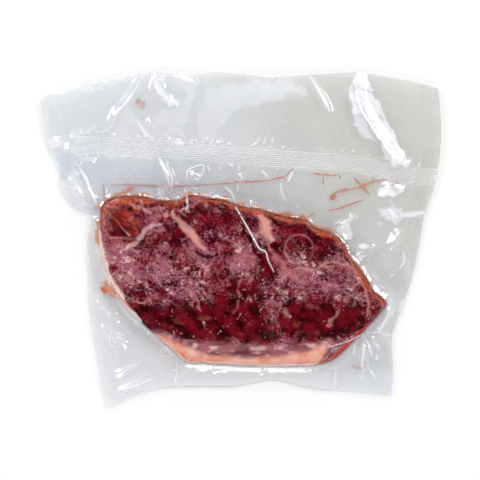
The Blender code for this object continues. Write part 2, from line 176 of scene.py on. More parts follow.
def stroke(places, route, half_width, soft=0.5, taper=0.25):
    """A brush stroke along a route: 1 on its line, falling to 0 over the soft share of
    its half-width, and narrower towards its ends by the taper share."""
    path = smooth_curve(route, 1.0) if len(route) > 1 else np.array(route, dtype=float)
    value = np.zeros(len(places))
    near = near_box(places, path, half_width)
    if len(path) < 2:
        gap = np.hypot(*(places[near] - path[0]).T)
        along = 0.5
    else:
        gap, along, _ = nearest_on_path(places[near], path)
    width = half_width * (1.0 - taper * (2.0 * along - 1.0) ** 2)
    value[near] = 1.0 - ramp(gap, width * (1.0 - soft), width)
    return value


OUTLINE = np.vstack([smooth_curve(edge, 3.0)[:-1]
                     for edge in (RIGHT_EDGE, TOP_EDGE, LEFT_EDGE, BOTTOM_EDGE)])
FOOT = smooth_curve(STEAK_FOOT, 2.5, closed=True)
RIM = smooth_curve(STEAK_RIM, 2.5, closed=True)
SEAL_CENTRE = smooth_curve(SEAL_LINE, 2.5)
print("outline", len(OUTLINE), "foot", len(FOOT), "rim", len(RIM))

# %% [markdown]
# ## Unevenness
# Meat and crumpled film are uneven at several sizes at once. A value noise gives this:
# random heights on a square lattice, joined by smooth curves. Added up at halving
# sizes it makes soft blotches, and folded about its middle it makes thin branching
# lines, like the ones where film has let go of the meat. Most uses have a seed of
# their own, so that marks of different kinds don't line up.


# %% Noise on whole arrays
def lattice_noise(places, cell, seed):
    """Random values from 0 to 1 on a square lattice of the given cell, blended between
    the four corners round each place by S-curves."""
    random = np.random.default_rng(seed)
    table = random.random((256, 256))
    u = places / cell + 64.0
    i = np.floor(u).astype(int)
    f = u - i
    f = f * f * (3.0 - 2.0 * f)
    x0, y0 = i[:, 0] % 256, i[:, 1] % 256
    x1, y1 = (x0 + 1) % 256, (y0 + 1) % 256
    low = table[x0, y0] * (1 - f[:, 0]) + table[x1, y0] * f[:, 0]
    high = table[x0, y1] * (1 - f[:, 0]) + table[x1, y1] * f[:, 0]
    return low * (1 - f[:, 1]) + high * f[:, 1]


def cloud(places, cell, seed, octaves=3):
    """Sum of lattice noises, each at half the size and half the weight of the last,
    on lattices turned a little so that no grid shows. The mean is 0.5."""
    total = np.zeros(len(places))
    weight = 1.0
    turned = places
    turn = np.array([[0.8, -0.6], [0.6, 0.8]])
    for octave in range(octaves):
        total += weight * (lattice_noise(turned, cell / 2 ** octave, seed + octave) - 0.5)
        turned = turned @ turn
        weight *= 0.5
    return 0.5 + total / (2.0 - 2.0 ** (1 - octaves))


# %% Pushes, thin lines and hills
def drift(places, cell, seeds, octaves=3):
    """Two clouds side by side, from -0.5 to 0.5, that push places about."""
    return np.column_stack([cloud(places, cell, seed, octaves) for seed in seeds]) - 0.5


def threads(places, cell, seed, sharp=0.1, octaves=2):
    """Thin lines where a cloud crosses its middle: 1 on the line, 0 a sharp step away.
    The places are first pushed about, which makes the lines curl."""
    push = drift(places, cell * 0.9, (seed + 51, seed + 77), 2)
    value = cloud(places + push * cell * 1.6, cell, seed, octaves)
    return np.clip(1.0 - np.abs(value - 0.5) / sharp, 0.0, 1.0)


def bell(x, y, cx, cy, rx, ry, power=2):
    """A hill of height 1: e to the minus sum of the offsets over the radii, each raised
    to the power. A high power gives it a flat top."""
    return np.exp(-((x - cx) / rx) ** power - ((y - cy) / ry) ** power)


def sum_bells(x, y, bells):
    """Hills and hollows added up, each with its own rise."""
    return sum(rise * bell(x, y, cx, cy, rx, ry) for cx, cy, rx, ry, rise in bells)


# %% [markdown]
# ## Heights
# Seen from above the pack is a height at each place, so one function gives the upper
# ply everywhere: the margins hover over the table and rise towards the header, folds
# are ridges along routes, and the steak pushes the film up. The ribs of the seal band
# are a cosine across it.

# %% Named sizes in millimetres
STEAK_THICKNESS = 19.5
TIP_THICKNESS = 15.0
PLY_GAP = 0.9
MARGIN_CLEARANCE = 0.9
MARGIN_RISE = 0.05
HEADER_WAVE = 0.9
RIM_ROUNDING = 1.6
RIM_REACH = 3.2
CORNER_FILLET = 1.5
FILLET_REACH = 2.4
SEAL_HALF_WIDTH = 4.3
SEAL_RIBS = 9
SEAL_RIB_HEIGHT = 0.2
SIDE_SEAL = 10.0
CLING = 0.3
LOWER_PLY_RELIEF = 0.45
TABLE_GAP = 0.12

# %% Folds of the film: route, half-width, height
FOLDS = [
    ([(-48.9, 81.5), (-51.6, 76.3), (-56.6, 68.6), (-61.1, 63.8), (-65.6, 55.6)], 2.2, 1.3),
    ([(-40.1, 81.5), (-41.1, 75.8), (-38.6, 70.8), (-32.2, 67.3)], 2.6, 1.4),
    ([(35.2, 80), (39.6, 72.8), (44.6, 63.8)], 1.6, 1),
    ([(57.5, 82), (57, 72), (60.5, 63), (67, 53), (73, 44), (80.5, 37.5)], 3.4, 2.4),
    ([(-33.2, 81.8), (-22.2, 77.5)], 1.2, 0.7),
    ([(-94.1, 50.4), (-87.2, 48.9), (-77.2, 53.9)], 2.2, 1.1),
    ([(-82.3, 35), (-76.3, 25.5), (-71.3, 17)], 1.8, 1.3),
    ([(-86.3, 32), (-81.3, 24.5), (-76.8, 18)], 1.8, 1.1),
    ([(-83.8, 42.6), (-76.3, 40.5), (-71.8, 34)], 2, 1),
    ([(-45.2, 61.4), (-43.2, 53.4)], 1.8, 0.8),
    ([(-41.2, 40), (-37.2, 34), (-34.2, 25)], 2.2, 1.6),
    ([(-26.7, 38), (-25.2, 31.5), (-21.2, 29.5), (-18.2, 35)], 1.8, 1.1),
    ([(3, 35.5), (1.5, 28), (3, 20)], 2, 1),
    ([(66.7, 24), (74, 25.6), (83.2, 25.5)], 2.4, 1.5),
    ([(66.7, 8), (74, 11.5), (81.2, 16)], 2.4, 1.4),
    ([(74.7, -5.5), (77.2, 0), (79.7, 5.5)], 2.2, 1.3),
    ([(49.7, 6), (53, 9), (58.7, 12)], 2.2, 1.4),
    ([(56.2, -4.5), (62.2, -5), (68, -3)], 2.2, 1.3),
    ([(-72.6, -30.1), (-66.4, -34.1), (-59.4, -41.1)], 1.9, 1.2),
    ([(-70.4, -42.1), (-64.4, -47.1), (-55.4, -53.6)], 1.9, 1.2),
    ([(-63.4, -67.7), (-56.4, -64.2), (-49.4, -60.1)], 1.5, 0.9),
    ([(-61.4, -73.2), (-53.4, -70.7), (-44.4, -67.2)], 1.5, 0.8),
    ([(-31.8, -63.6), (-32.6, -67.6), (-33.3, -71.2)], 1.6, 0.9),
    ([(61.4, -51.6), (61.6, -58.6), (61.9, -66.7)], 1.8, 1.5),
    ([(63.9, -48.6), (67, -53.6), (69.6, -60.1)], 1.8, 1.4),
    ([(75.4, -33.1), (72.4, -39.1), (68.4, -45.1)], 1.6, 1.2),
]
print("folds", len(FOLDS), "highest", max(rise for _, _, rise in FOLDS), "mm")

# %% Swells and hollows of the meat: centre, radii, height
MEAT_SWELLS = [(-52, 4, 9, 9, -2.2), (-42, -20, 18, 14, 0.9), (-14, -2, 12, 9, 0.8),
    (13, 1, 6, 12, 0.9), (4, -24, 16, 9, -0.9), (29, -6.5, 8, 8, -1), (34, -28, 16, 10, 0.8),
    (-22, -38, 14, 7, -0.7), (52, -30, 9, 7, -0.8)]


# %% Folds, and tents beside the band
def fold_height(places):
    """Each fold is a ridge: straight sides that meet in a narrow rounded crest, whose
    height fades out at both ends of the route."""
    height = np.zeros(len(places))
    for route, half_width, rise in FOLDS:
        path = smooth_curve(route, 1.5)
        near = near_box(places, path, 2.0 * half_width)
        gap, along, _ = nearest_on_path(places[near], path)
        fade = np.sin(math.pi * np.clip(along, 0.04, 0.96)) ** 0.6
        crest = np.sqrt(gap ** 2 + (0.18 * half_width) ** 2) - 0.18 * half_width
        height[near] += rise * fade * np.clip(1.0 - crest / (1.5 * half_width), 0.0, 1.0)
    return height


def tooth_height(gap, along, side):
    """Small tents of film that stand against both borders of the seal band, at uneven
    steps along it, each pointing away from the band."""
    random = np.random.default_rng(14)
    height = np.zeros(len(gap))
    for border in (-1, 1):
        marks = np.cumsum(random.uniform(0.018, 0.048, 40))
        marks = marks[marks < 0.97]
        for mark in marks:
            width = random.uniform(0.0035, 0.0065)
            length = random.uniform(1.8, 4.6)
            rise = random.uniform(0.25, 0.7)
            across = np.clip(1.0 - np.abs(along - mark) / width, 0.0, 1.0)
            out = gap - SEAL_HALF_WIDTH
            reach = ramp(out, 0.0, 0.8) * (1.0 - ramp(out, 0.8, length))
            height += np.where(side == border, rise * across * reach, 0.0)
    return height


# %% Ribs, meat and wrinkles
def seal_rib(gap, along, side):
    """Cosine ribs across the seal band, nine of them, flattened outside the band."""
    weight = 1.0 - ramp(gap, SEAL_HALF_WIDTH - 0.1, SEAL_HALF_WIDTH + 0.3)
    weight *= ramp(along, 0.0, 0.02)
    rib = np.cos(math.pi * gap * side * SEAL_RIBS / SEAL_HALF_WIDTH)
    return rib * SEAL_RIB_HEIGHT * weight, weight


def meat_height(places, in_rim):
    """Flat slab, thinner towards its right end, with soft swells and a rounded rim."""
    x, y = places[:, 0], places[:, 1]
    towards_tip = np.clip((x - 25.0) / 45.0, 0.0, 1.0)
    height = STEAK_THICKNESS + (TIP_THICKNESS - STEAK_THICKNESS) * towards_tip ** 1.5
    height -= 1.2 * ((x + 5.0) / 68.0) ** 2 + ((y + 17.0) / 36.0) ** 2
    height -= RIM_ROUNDING * np.exp(-np.clip(in_rim, 0.0, None) / RIM_REACH)
    return height + sum_bells(x, y, MEAT_SWELLS)


def crumple(places, beyond, seed):
    """Fine wrinkles: ridges where a cloud crosses its middle, deep close to the steak
    and shallow out in the header, on soft waves that set in away from the steak."""
    near = np.exp(-beyond / 16.0) * (1.0 - 0.7 * ramp(-places[:, 1], 50.0, 62.0))
    deep = 0.08 + 0.42 * near
    ridges = threads(places, 9.0, seed, sharp=0.16) ** 0.8
    small = threads(places, 4.2, seed + 9, sharp=0.2)
    waves = cloud(places, 26.0, seed + 5, 2) - 0.5
    return deep * (0.5 * ridges + 0.22 * small) + waves * ramp(beyond, 4.0, 30.0)


# %% Both plies
def margin_heights(places, seed=3):
    """Heights of the upper and lower ply outside the steak. Their middle rises from
    the table with distance, with folds, wrinkles and ribs added, and the two plies
    come together at the seals and at the outline."""
    in_foot = closed_distance(places, FOOT)
    beyond = np.clip(-in_foot, 0.0, None)
    from_edge = np.abs(closed_distance(places, OUTLINE))
    in_band = nearest_on_path(places, SEAL_CENTRE)
    rib, seal = seal_rib(*in_band)
    middle = MARGIN_CLEARANCE + PLY_GAP / 2 + MARGIN_RISE * beyond
    middle += HEADER_WAVE * (1.0 + np.sin(places[:, 0] / 21.0 + 0.8)) \
        * np.clip(beyond / 60.0, 0.0, 1.0)
    relief = (fold_height(places) + crumple(places, beyond, seed)) * (1.0 - 0.85 * seal)
    relief += tooth_height(*in_band) * (1.0 - seal)
    apart = PLY_GAP * (0.12 + 0.88 * ramp(from_edge, 1.0, SIDE_SEAL)) * (1.0 - 0.8 * seal)
    fillet = CORNER_FILLET * np.exp(-beyond / FILLET_REACH)
    upper = middle + fillet + relief + rib + apart / 2
    lowered = ramp(in_foot, 0.0, 4.0)
    lower = (middle + LOWER_PLY_RELIEF * relief + rib - apart / 2) * (1.0 - lowered)
    return upper, np.maximum(lower, TABLE_GAP), beyond


# %% [markdown]
# ## Grids
# Every piece here is a grid of two parameters turned into a mesh. A strip of film is a
# patch blended between four edge curves. The steak is a rectangle whose nested
# rectangles become nested outlines of the meat, so there is no crowded pole in the
# middle, and the outermost lines run down its side.


# %% Faces of a grid
def grid_faces(rows, columns):
    """Quads of a rows x columns grid of points, wound to face up when the columns run
    along +X and the rows along +Y."""
    index = np.arange(rows * columns).reshape(rows, columns)
    return np.stack([index[:-1, :-1], index[:-1, 1:], index[1:, 1:], index[1:, :-1]],
                    axis=-1).reshape(-1, 4)


def ring_quads(rings, outwards=False):
    """Quads between neighbouring closed rings, given as rows of point numbers. They are
    wound the other way when the rings grow outwards and should face up."""
    ahead = np.roll(rings, -1, axis=1)
    quads = np.stack([rings[:-1], ahead[:-1], ahead[1:], rings[1:]], axis=-1).reshape(-1, 4)
    return quads[:, [0, 3, 2, 1]] if outwards else quads


# %% Pieces and their numbers
def make_piece(name, points, faces):
    """An object at the origin from points in millimetres and lists of faces."""
    mesh = bpy.data.meshes.new(name)
    faces = [face for block in faces for face in block.tolist()]
    mesh.from_pydata((points * MM).tolist(), [], faces)
    mesh.shade_smooth()
    piece = bpy.data.objects.new(name, mesh)
    bpy.context.scene.collection.objects.link(piece)
    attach(piece, BODY)
    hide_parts(PACK)
    print(name, len(points), "points", len(faces), "faces")
    return piece


def set_attribute(piece, name, values):
    """Store one number per point, which the material then reads by name."""
    layer = piece.data.attributes.new(name, "FLOAT", "POINT")
    layer.data.foreach_set("value", np.asarray(values, dtype=np.float32))


# %% A patch between four edges
def edge_patch(bottom, top, left, right):
    """Coons patch: the sum of the two blends between opposite edges, less the blend of
    the four corners, which both of them hold."""
    v = np.linspace(0.0, 1.0, len(left))[:, None, None]
    u = np.linspace(0.0, 1.0, len(bottom))[None, :, None]
    across = (1 - v) * bottom[None] + v * top[None]
    along = (1 - u) * left[:, None] + u * right[:, None]
    corners = ((1 - u) * (1 - v) * bottom[0] + u * (1 - v) * bottom[-1]
               + (1 - u) * v * top[0] + u * v * top[-1])
    return (across + along - corners).reshape(-1, 2)


# %% Cut the outline at the seal band's borders
def offset_path(path, distance):
    """A path moved sideways, to its left if the distance is positive."""
    return path + left_of(np.gradient(path, axis=0)) * distance


def cut_near(path, place):
    """Index of the path's point that is nearest to a place."""
    return int(np.hypot(*(path - np.array(place)).T).argmin())


left_down = smooth_curve(LEFT_EDGE, 0.25)
right_up = smooth_curve(RIGHT_EDGE, 0.25)
BAND_TOP_LEFT = cut_near(left_down, (-96.9, 52.9))
BAND_LOW_LEFT = cut_near(left_down, (-93.9, 44.2))
BAND_LOW_RIGHT = cut_near(right_up, (96.9, 27.0))
BAND_TOP_RIGHT = cut_near(right_up, (98.2, 35.6))
seal_middle = smooth_curve([(-95.4, 48.6)] + SEAL_LINE[:-1] + [(97.6, 31.3)], 1.0)


def band_border(offset, left_end, right_end):
    """One border of the seal band, from the left outline to the right outline."""
    path = offset_path(seal_middle, offset)[3:-3]
    return np.vstack([left_end, path, right_end])


band_top = band_border(SEAL_HALF_WIDTH, left_down[BAND_TOP_LEFT], right_up[BAND_TOP_RIGHT])
band_low = band_border(-SEAL_HALF_WIDTH, left_down[BAND_LOW_LEFT], right_up[BAND_LOW_RIGHT])
print("band", band_top[0], band_top[-1], band_low[0], band_low[-1])

# %% [markdown]
# ## The header
# Above the seal band the two plies are empty. They lie loosely together, with a few
# long soft folds from handling. The strip is a patch between the band's upper border
# and the top edge.

# %% Header film
FILM_COLUMNS = 400


def film_strip(name, bottom, top, left, right, rows, columns, ply=0, seed=3):
    """A strip of one ply: a patch between four edges, raised by the ply's height."""
    places = edge_patch(resample(bottom, columns), resample(top, columns),
                        resample(left, rows), resample(right, rows))
    heights = margin_heights(places, seed)
    points = np.column_stack([places, heights[ply]])
    piece = make_piece(name, points, [grid_faces(rows, columns)])
    return piece, places, heights[2]


top_right_to_left = smooth_curve(TOP_EDGE, 0.5)
header, header_places, _ = film_strip(
    "header_film", band_top, top_right_to_left[::-1],
    left_down[:BAND_TOP_LEFT + 1][::-1], right_up[BAND_TOP_RIGHT:], 92, FILM_COLUMNS)

# %% [markdown]
# ## The seal band
# The bar that closed the pouch was ribbed, and pressed nine fine ribs into both plies
# at once. The strip needs seven rows of points for every rib, so it is its own piece.

# %% Seal band
band, band_places, _ = film_strip(
    "seal_band_film", band_low, band_top,
    left_down[BAND_TOP_LEFT:BAND_LOW_LEFT + 1][::-1],
    right_up[BAND_LOW_RIGHT:BAND_TOP_RIGHT + 1], 64, FILM_COLUMNS)

# %% [markdown]
# ## The steak's grid
# The nested rectangles need their corners at the meat's own corners. Fifty lines meet
# at the pinched top left corner, because the film's tension folds fan out from it.

# %% Nested outlines
GRID_X = 360
GRID_Y = 230
FAN = 50
SIDE_LINES = 16
SIDE_BULGE = 1.6
PLEAT_DEPTH = 0.5


def loop_from(loop, start):
    """A closed loop turned to start at its point nearest to a place, and closed."""
    turned = np.roll(loop, -cut_near(loop, start), axis=0)
    return np.vstack([turned, turned[:1]])


def marked_loop(loop, marks, counts):
    """A closed loop with a given number of even steps between each pair of marks."""
    stops = [cut_near(loop[1:-1], mark) + 1 for mark in marks[1:]] + [len(loop) - 1]
    parts = []
    start = 0
    for stop, count in zip(stops, counts):
        parts.append(resample(loop[start:stop + 1], count + 1)[:-1])
        start = stop
    return np.vstack(parts)


SIDE_COUNTS = (GRID_X, GRID_Y, GRID_X, GRID_Y - FAN, FAN)
FOOT_MARKS = [(-68.9, 16.3), (51.0, -2.3), (48.0, -58.7), (-50.5, -39.9), (-69.7, 11.5)]
RIM_MARKS = [(-65.0, 15.1), (48.0, -3.4), (43.6, -49.2), (-50.4, -34.6), (-66.0, 10.0)]
foot_loop = marked_loop(loop_from(smooth_curve(STEAK_FOOT, 0.15, True), FOOT_MARKS[0]),
                        FOOT_MARKS, SIDE_COUNTS)
rim_loop = marked_loop(loop_from(smooth_curve(STEAK_RIM, 0.15, True), RIM_MARKS[0]),
                       RIM_MARKS, SIDE_COUNTS)
MEAT_CENTRE = np.array([-4.0, -18.0])
print("loop points", len(foot_loop), len(rim_loop))


def nested_grid():
    """For each point of a rectangle grid: how far out it is, 0 in the middle to 1 on the
    border, and where on the border, as a running count clockwise from top left."""
    a = np.linspace(-1.0, 1.0, GRID_X + 1)[None, :]
    b = np.linspace(-1.0, 1.0, GRID_Y + 1)[:, None]
    a, b = np.broadcast_arrays(a, b)
    out = np.maximum(np.abs(a), np.abs(b))
    safe = np.maximum(out, 1e-9)
    north = GRID_X * (a / safe + 1) / 2
    east = GRID_X + GRID_Y * (1 - b / safe) / 2
    south = GRID_X + GRID_Y + GRID_X * (1 - a / safe) / 2
    west = 2 * GRID_X + GRID_Y + GRID_Y * (b / safe + 1) / 2
    along = np.where(b >= out, north,
                     np.where(a >= out, east, np.where(b <= -out, south, west)))
    total = 2 * (GRID_X + GRID_Y)
    return out.ravel(), (along % total).ravel()


def on_loop(loop, along):
    """Points of a closed loop at fractional counts along it."""
    low = np.floor(along).astype(int) % len(loop)
    share = (along - np.floor(along))[:, None]
    return loop[low] * (1 - share) + loop[(low + 1) % len(loop)] * share


# %% The steak's plan
def slab_places(swell, pleated=0.0, flare=0.0):
    """Plan of the steak's face and side. Inside the rim the lines shrink evenly towards
    the centre. Outside it they go down the side as a quarter ellipse that bulges by a
    cloud, and by upright pleats if asked for. The climb is 1 on the face and 0 at the
    foot, where the side may flare out a little. The unrolled plan lays the side out
    flat round the face, for the noises."""
    out, along = nested_grid()
    rings = GRID_Y / 2
    rim_share = 1.0 - SIDE_LINES / rings
    rim = on_loop(rim_loop, along)
    foot = on_loop(foot_loop, along)
    outward = foot - rim
    outward /= np.linalg.norm(outward, axis=1)[:, None]
    angle = np.clip((1.0 - out) / (1.0 - rim_share), 0.0, 1.0) * math.pi / 2
    drop = outward * ((1.0 - np.sin(angle)) * STEAK_THICKNESS)[:, None]
    unrolled = rim + drop
    pleats = pleated * threads(rim, 7.0, 81, 0.3)
    bulge = (SIDE_BULGE * (cloud(unrolled, 7.0, 71, 3) - 0.5) + pleats) * np.sin(2 * angle)
    bulge += flare * (1.0 - ramp(angle, 0.0, 0.2))
    foot = foot + outward * swell
    rim = rim + outward * swell * 0.5
    inner = np.clip(out / rim_share, 0.0, 1.0)[:, None]
    face = MEAT_CENTRE + (rim - MEAT_CENTRE) * inner
    side = foot + (rim - foot) * (1.0 - np.cos(angle))[:, None] + outward * bulge[:, None]
    on_face = (out <= rim_share)[:, None]
    climb = np.where(on_face[:, 0], 1.0, np.sin(angle))
    return np.where(on_face, face, side), np.where(on_face, face, unrolled), climb


# %% [markdown]
# ## Marks of the meat
# The muscle is dark crimson where the film sits wet on it and dull purple pink where it
# has bloomed. A pale veil of curls, frost and fibres is where the film has lifted. Seams
# of fat, a fat cap on the lower side, a cream edge on the left, rust-brown juice along
# the far rim, a sunken top left corner, blood, dark marks with painted shade beside the
# film's crease and in the corner's folds, and small painted glints come on top. Each is a
# number per point, from strokes with real places plus noise.

# %% Fat, seams, stains, dark marks and painted shade: route, half-width, strength
FAT_SEAMS = [
    ([(-54.7, 18), (-49.7, 15.6), (-43.5, 13.1)], 2, 0.75),
    ([(-36.3, 12.8)], 2.4, 0.9),
    ([(-32.9, 13.1), (-29.8, 8.7), (-24.8, 4.4), (-21.1, -0.6), (-17.1, -4.6)], 3.1, 1),
    ([(9.1, 12.1), (11.8, 8.4), (12.3, 3.6), (15, -0.1)], 4.4, 1.3),
    ([(3.9, -3.8), (7.6, 1), (9.1, 3.6)], 2.2, 0.6),
    ([(24.5, -14.3), (31.9, -13.8), (37.1, -14.3), (41.4, -11.1), (45.6, -10.9), (50.9, -12.2)],
     1.6, 0.6),
    ([(45.6, -12.2), (44.5, -17)], 1.4, 0.45),
    ([(49.8, -6.4), (52.4, -11.1), (57.7, -17), (60.9, -24.3), (63, -31.2), (61.7, -37.5)],
     1.2, 0.65),
    ([(-24.8, -23), (-23, -26.7), (-21.1, -30.4), (-19.3, -34.8)], 1.5, 0.5),
    ([(-18.6, -39.7), (-16.8, -44.1)], 1.3, 0.45),
    ([(0.6, -15.5), (-0.6, -22.3), (-0.6, -26.7), (-2.5, -36.6)], 1.8, 0.42),
    ([(-52.2, -29.8), (-45.4, -29.8), (-46, -24.8)], 1.2, 0.5),
    ([(42.9, -42.3), (45.6, -38.1), (48.2, -33.3)], 1.9, 0.5),
    ([(19.7, -30.2), (20.2, -33.9), (24.5, -37.5)], 2.4, 0.5),
]
CREAM_LINES = [
    (STEAK_FOOT[-8:-1], 5.6, 1.3),
    ([(-38.0, -50.5), (-30.5, -57.5), (-26.0, -60.3), (-17.8, -61.3), (-0.3, -62.3),
      (14.8, -62.6), (29.9, -62.6), (40.0, -61.6)], 1.8, 0.8),
]
PINK_SEAMS = [
    ([(13.4, -2.2), (17.1, -8), (21.3, -13.3), (24.5, -17.5), (28.7, -20.1)], 3, 1.4),
    ([(-4, -11), (1, -8), (6, -12)], 4.5, 0.7),
    ([(-24, -9), (-17, -12), (-14, -19)], 5, 0.45),
    ([(24, -24), (32, -30), (38, -33)], 4, 0.4),
]
CORNER_CREASES = [
    ([(-62.7, 11.8), (-58.4, 6.9), (-54, 1.9)], 0.9, 0.8),
    ([(-60, 12.5), (-57.5, 8), (-56.5, 3)], 0.5, 0.5),
    ([(-64.5, 1.2), (-57, 0.8), (-50, 0.6)], 1.4, 0.6),
    ([(-58, -5.5), (-52.5, -2.2), (-48.5, 1.5), (-45.5, 6), (-38.5, 8)], 2.4, 0.75),
    ([(-48.5, 1.5), (-43, 3)], 1, 0.5),
    ([(-52.4, -24.8), (-45.5, -24.4), (-44.6, -30.2), (-51.4, -29.7), (-52.4, -24.8)], 0.7, 0.4),
    ([(-26.5, 18), (-25, 13.5)], 1.8, 0.6),
    ([(-62, -8), (-56, -11), (-52, -9)], 0.8, 0.5),
    ([(-60, -14), (-54, -16), (-49, -20)], 0.7, 0.5),
    ([(-35, 10), (-33.5, 3), (-36, -3)], 0.7, 0.4),
    ([(-13.5, -9.4), (-12, -5), (-8, -2)], 0.7, 0.4),
]
TAN_STAINS = [
    ([(-20.5, -37.9), (-13.7, -37.9)], 2.8, 0.6),
    ([(25, -41.6), (29, -40.6)], 3, 0.45),
    ([(26, -46.2), (31, -45.6)], 2.4, 0.4),
    ([(28, -3), (27, -7)], 4, 0.4),
    ([(-34, -37), (-28, -41)], 3, 0.35),
    ([(-8, -42), (2, -45)], 2.5, 0.3),
]
BROAD_TONES = [(-22, -6, 10, 8, 0.32), (2, -9, 10, 5, 0.36), (-60, -14, 6, 13, 0.14),
    (14, -21, 12, 6, 0.34), (-40, -20, 13, 8, -0.2), (38, -21, 17, 8, 0.36),
    (-14, 10, 14, 7, -0.16), (-2, -24, 12, 6, -0.1), (-44, 6, 5, 6, 0.3),
    (-30, -39, 30, 6.5, -0.55), (10, -43, 34, 6, -0.6), (44, -38, 14, 6, -0.35),
    (-4, -31, 14, 5, -0.25), (-56, 9, 7, 7, -0.3), (17, -5, 3.2, 4, -0.8), (29, -3, 10, 8, -0.12),
    (-52, -33, 8, 3.5, -0.45)]
# The first mark is painted shade beside the film's crease across the meat, and the third and
# fourth are painted shade in the folds of the sunken corner.
DARK_AND_SHADE_MARKS = [
    ([(-3.7, 15.6), (1.7, 4.9), (7.6, -5.4), (11.4, -10.7), (14.9, -18)], 1.1, 0.9),
    ([(16.2, -2.2), (18.4, -5.8)], 3.4, 1),
    ([(-62.1, 12.7), (-57.7, 7.8), (-51.9, 4.4)], 4, 0.6),
    ([(-64.5, 3.9), (-56.7, 1.9), (-49.9, 0)], 2.2, 0.7),
    ([(-44.1, 17), (-39.2, 18), (-31.4, 16.6)], 2, 0.6),
    ([(-39.2, 8.8), (-33.4, 2.9), (-29.5, -2.9)], 2.5, 0.6),
    ([(-21.7, -5.8), (-17.8, -7.8), (-13.9, -7.8)], 2, 0.6),
    ([(-34.3, -27.3), (-24.6, -34.1), (-21.7, -39.9)], 3.5, 0.45),
    ([(37.8, -2.4), (48.5, -4.9), (53.3, -10.7)], 2.5, 0.5),
    ([(37.8, -17.5), (43.6, -16.6), (50.9, -17.5)], 1.8, 0.4),
    ([(-12.9, 7.3), (-11.9, 1), (-6.1, -1.9)], 2.6, 0.5),
]
BLOOD_MARKS = [
    ([(39.7, -61), (45.5, -58), (51, -54), (58.2, -46.5), (64, -41)], 2.6, 0.8),
    ([(-30, -55.5), (-25.5, -60), (-21.5, -58.5)], 0.9, 0.7),
    ([(-64, -21), (-60, -27), (-54, -33)], 1.8, 0.6),
]
RUST_LINE = STEAK_FOOT[-3:] + STEAK_FOOT[:23]
RING_MARK = (28.5, -4.4, 7.0)
MEAT_FAT_LINE = [(-64, -44), (-50, -50), (-43, -44.5), (-38, -43.8), (-34.3, -46.3),
    (-24.6, -48.7), (-12.4, -49.7), (4.6, -51.1), (24.1, -50.7), (34, -49.7), (41, -48.7),
    (46, -50), (50, -56), (58, -62), (78, -44)]
PEACH_LINE = [(-64, -46), (-50, -52), (-41.5, -46), (-34.3, -48.5), (-27, -51.6), (-21.2, -54.6),
    (-12.4, -57), (4.6, -57.5), (21.7, -56.5), (31.4, -54.1), (37.8, -52), (41.2, -51.6),
    (42, -54.6), (39, -62), (42, -68), (60, -68), (80, -46)]
print("fat seams", len(FAT_SEAMS), "dark marks", len(DARK_AND_SHADE_MARKS), "tones", len(BROAD_TONES))


# %% Strokes and borders on the meat
FIBRE_TURN = np.array([[0.34, 0.8], [-0.2, 1.3]])
PIT_CORNER = (-67.0, 18.0)
FAINT = 0.12


def sum_strokes(places, unrolled, strokes, soft, ragged=0.0, wobble=1.0, seed=0):
    """The strongest of several brush strokes at each place, on wobbled places. Where
    the stroke is weak a fine cloud decides, which frays its borders like real fat."""
    moved = places + drift(unrolled, 3.0, (seed + 21, seed + 22)) * 2.4 * wobble
    value = np.zeros(len(places))
    for route, half_width, strength in strokes:
        value = np.maximum(value, strength * stroke(moved, route, half_width, soft, 0.5))
    rough = cloud(unrolled, 1.7, seed + 61, 3) - 0.5
    frayed = 0.35 if ragged else 1e-6
    return value * ramp(value + ragged * rough, FAINT, FAINT + frayed)


def below_line(places, line, soft):
    """1 on the lower side of a line that runs left to right, 0 above it."""
    gap, _, side = nearest_on_path(places, smooth_curve(line, 1.5))
    push = (cloud(places, 6.0, 33) - 0.5) * 2.2
    return ramp(-gap * side + push, -soft, soft)


# %% Muscle, veil and brown juice
def muscle_tone(x, y, unrolled):
    """0 where the muscle is wet and dark and 1 where it has bloomed: hills and hollows
    with real places plus a coarse and a fine cloud."""
    tone = 0.41 + 1.4 * (cloud(unrolled, 13.0, 101, 4) - 0.5)
    tone += 0.8 * (cloud(unrolled, 3.4, 111, 3) - 0.5)
    return tone + sum_bells(x, y, BROAD_TONES)


def pale_veil(unrolled, tone):
    """Where the film has let go: the strongest of thin curls, frost and muscle fibres,
    all in patches that keep to the bloomed muscle."""
    curls = np.maximum(threads(unrolled, 4.6, 201, 0.05),
                       0.8 * threads(unrolled, 2.8, 231, 0.06))
    curls *= ramp(cloud(unrolled, 2.4, 221, 2), 0.36, 0.62)
    patchy = ramp(cloud(unrolled, 9.0, 251, 3) + 0.35 * (tone - 0.4), 0.40, 0.66)
    frost = ramp(cloud(unrolled, 4.0, 261, 4) + 0.45 * (tone - 0.45), 0.52, 0.7)
    frost *= ramp(cloud(unrolled, 1.2, 265, 2), 0.38, 0.62)
    fibres = ramp(cloud(unrolled @ FIBRE_TURN, 2.0, 267, 3), 0.52, 0.7) * patchy
    return np.maximum(np.maximum(curls * patchy, 0.3 * frost), 0.35 * fibres)


def dried_rust(x, y, places, unrolled):
    """Brown juice close to the far rim, with a ragged border that reaches deeper at the
    top left corner, and fading in patches down the side."""
    gap = nearest_on_path(places, smooth_curve(RUST_LINE, 2.0))[0]
    ragged = 3.4 * (cloud(unrolled, 4.0, 281, 4) - 0.5)
    deeper = 1.6 * bell(x, y, -55.0, 18.0, 14.0, 8.0) + 2.2 * bell(x, y, -67.0, 12.0, 5.0, 8.0)
    rust = 1.0 - ramp(gap + ragged - deeper, 1.4, 3.6)
    rust *= 0.5 + cloud(unrolled, 4.0, 285, 3)
    down = np.hypot(*(unrolled - places).T)
    patches = 0.4 + 0.6 * ramp(cloud(unrolled, 6.0, 301, 3), 0.3, 0.6)
    return rust * (1.0 - ramp(down, 1.5, 6.0) * patches)


